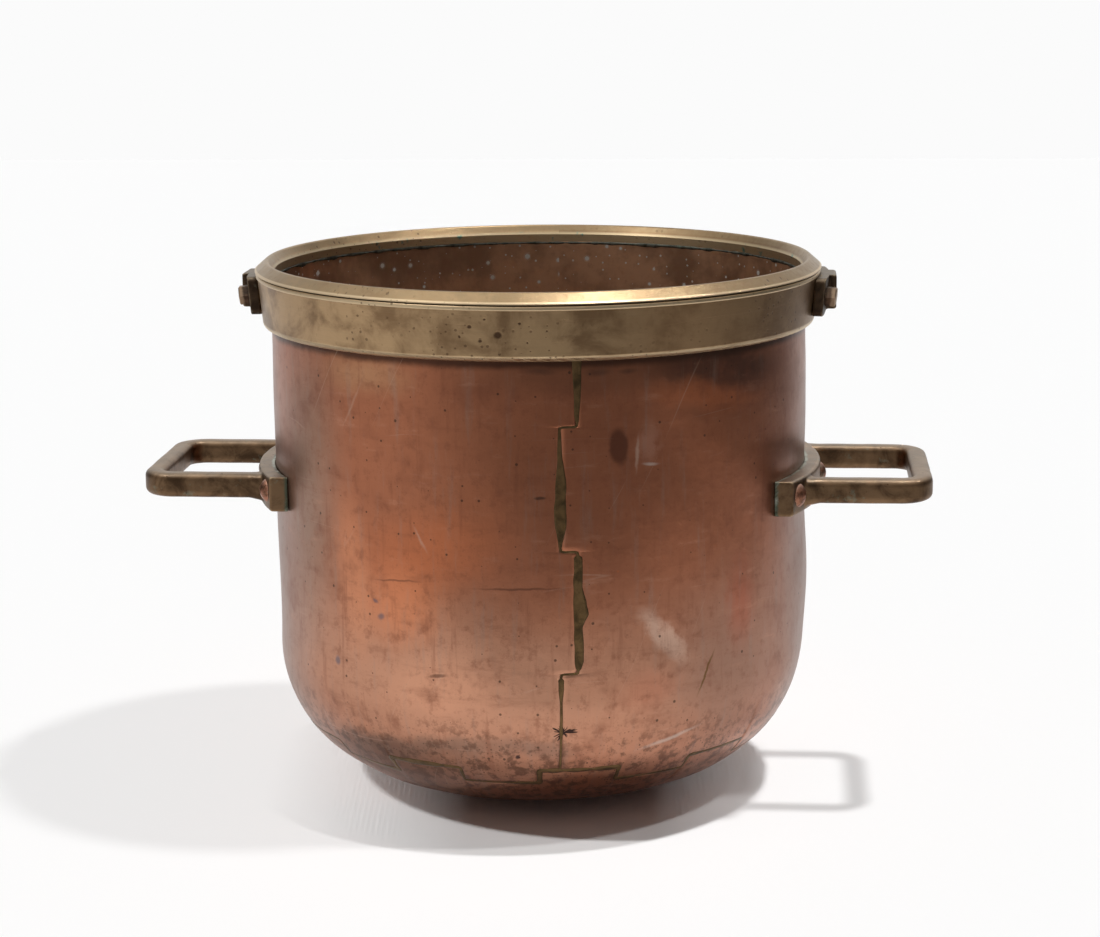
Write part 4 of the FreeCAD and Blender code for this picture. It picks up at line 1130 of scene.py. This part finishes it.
def makeStudio():
    mesh = bpy.data.meshes.new("studioFloor")
    edge = studio["floor"]
    corners = [(edge[side], edge[end], 0) for side, end in (
        ("left", "front"), ("right", "front"), ("right", "back"), ("left", "back"))]
    mesh.from_pydata(corners, [], [(0, 1, 2, 3)])
    floor = addObject("studioFloor", mesh)
    paper = bpy.data.materials.new("paper")
    paper.use_nodes = True
    shader = paper.node_tree.nodes["Principled BSDF"]
    shader.inputs["Base Color"].default_value = (edge["tone"],) * 3 + (1,)
    shader.inputs["Roughness"].default_value = 1
    shader.inputs["Specular IOR Level"].default_value = 0
    mesh.materials.append(paper)
    world = bpy.data.worlds.new("studio")
    scene.world = world
    world.use_nodes = True
    tree = world.node_tree
    tree.nodes.clear()
    x, y, z = split(out(put(tree, "TexCoord"), "Generated"))
    # angle from the camera's side: front is (sin yaw, -cos yaw)
    sine, cosine = math.sin(math.radians(shot["yaw"])), math.cos(math.radians(shot["yaw"]))
    turned = calc("ARCTAN2", x * cosine + y * sine, x * sine - y * cosine)
    stops = [((angle + 180) / 360, tone) for angle, tone in studio["round"]]
    level = ramp(turned * (0.5 / math.pi) + 0.5, stops)
    for side in ("above", "below"):
        tone, low, high = studio[side]
        level = blend(spread(z, low, high), level, (tone,) * 3)
    mirrored = out(put(tree, "Background", {"Color": level}))
    weak = out(put(tree, "Background", {"Color": (studio["ambient"],) * 3 + (1,)}))
    seen = out(put(tree, "Background", {"Color": (studio["background"],) * 3 + (1,)}))
    path = put(tree, "LightPath")
    glossy = calc("MAXIMUM", out(path, "Is Glossy Ray"), out(path, "Is Transmission Ray"))
    light = out(put(tree, "MixShader", {0: glossy, 1: weak, 2: mirrored}))
    light = out(put(tree, "MixShader", {0: out(path, "Is Camera Ray"), 1: light, 2: seen}))
    put(tree, "OutputWorld", {0: light})
    scene.view_settings.view_transform = "Standard"
    return floor


# Lamps; each stands where it throws the shadow of a point as high as the rim by its offset, in mm, seen
# from the camera. The lamp from above and the one from the left leave a short shadow on the floor, which
# fades where the copper throws light back. So both have a twin that lights the floor alone, and a slatted
# flag stops it.

rimHeight = 447
lamps = {
    "keyRight": {"offset": (-248, 16), "strength": 0.62, "angle": 4.0},
    "overhead": {"offset": (-92, -14), "strength": 0.75, "angle": 3.0, "lights": "pot",
                 "passes": ("handle_left_cast",)},
    "fillLeft": {"offset": (250, 70), "strength": 0.60, "angle": 1.5, "lights": "pot",
                 "blockedBy": ("copperBottom", "bottomSeam")},
    "overFloor": {"offset": (-92, -56), "strength": 1.25, "angle": 3.0, "lights": "floor",
                  "blockedBy": ("overFloorFlag", "handle_right_cast")},
    "fillFloor": {"offset": (264, 99), "strength": 1.45, "angle": 3.0, "lights": "floor",
                  "blockedBy": ("fillFloorFlag",)},
}
flags = {
    # discs (x, y, radius) on the floor whose overlap is dark; the share of light held back goes from the one
    # at the first x to the one at the second
    "overFloor": {"discs": [(-30, -12, 225)], "from": (-235, 0.0), "to": (-60, 1.0)},
    "fillFloor": {"discs": [(-30, -12, 225), (72, 27, 232)], "from": (90, 1.0), "to": (195, 0.40)},
}
flagShape = {"height": 122, "pitch": 4.5}


def makeFlag(name, turn):
    # slats side by side, each as wide as its share of the pitch and as long as the overlap of the discs there
    flag, pitch = flags[name], flagShape["pitch"]
    offset = np.array(lamps[name]["offset"]) * flagShape["height"] / rimHeight
    left = max(x - radius for x, y, radius in flag["discs"])
    right = min(x + radius for x, y, radius in flag["discs"])
    middle = np.arange(left + pitch / 2, right, pitch)
    (start, startShare), (end, endShare) = flag["from"], flag["to"]
    share = np.interp(middle, [start, end], [startShare, endShare])
    x = np.stack([middle - share * pitch / 2, middle + share * pitch / 2], 1)
    low, high = np.full(x.shape, -1e3), np.full(x.shape, 1e3)
    for discX, discY, radius in flag["discs"]:
        half = np.sqrt(np.clip(radius ** 2 - (x - discX) ** 2, 0, None))
        low, high = np.maximum(low, discY - half), np.minimum(high, discY + half)
    high = np.maximum(high, low)
    corners = np.stack([np.stack([x, low], 2), np.stack([x, high], 2)], 2).reshape(-1, 2) - offset
    points = np.column_stack([corners, np.full(len(corners), flagShape["height"])]) * mm
    first = np.arange(len(middle))[:, None] * 4
    mesh = bpy.data.meshes.new(name + "Flag")
    mesh.from_pydata((points @ np.array(turn).T).tolist(), [], (first + [0, 2, 3, 1]).tolist())
    piece = addObject(name + "Flag", mesh)
    for ray in ("camera", "diffuse", "glossy", "transmission"):
        setattr(piece, "visible_" + ray, False)
    return piece


def placeLamps(floor):
    turn = Matrix.Rotation(math.radians(shot["yaw"]), 3, "Z")
    pot = [piece for piece in scene.objects if piece.type == "MESH" and piece is not floor]
    everything = pot + [makeFlag(name, turn) for name in flags]
    for name, lamp in lamps.items():
        light = bpy.data.lights.new(name, "SUN")
        light.energy = lamp["strength"]
        light.angle = math.radians(lamp["angle"])
        holder = addObject(name, light)
        toLight = turn @ Vector((-lamp["offset"][0], -lamp["offset"][1], rimHeight))
        holder.rotation_euler = toLight.to_track_quat("Z", "Y").to_euler()
        holder.location = toLight.normalized() * 2
        passes = lamp.get("passes", ())
        stops = lamp.get("blockedBy", [piece.name for piece in pot if piece.name not in passes])
        blockers = bpy.data.collections.new(name + "Blockers")
        holder.light_linking.blocker_collection = blockers
        for piece in everything:
            if piece.name in stops:
                blockers.objects.link(piece)
        if "lights" in lamp:
            lit = bpy.data.collections.new(name + "Lights")
            holder.light_linking.receiver_collection = lit
            for piece in [floor] if lamp["lights"] == "floor" else pot:
                lit.objects.link(piece)


placeLamps(makeStudio())
print("camera, lamps and studio ready")
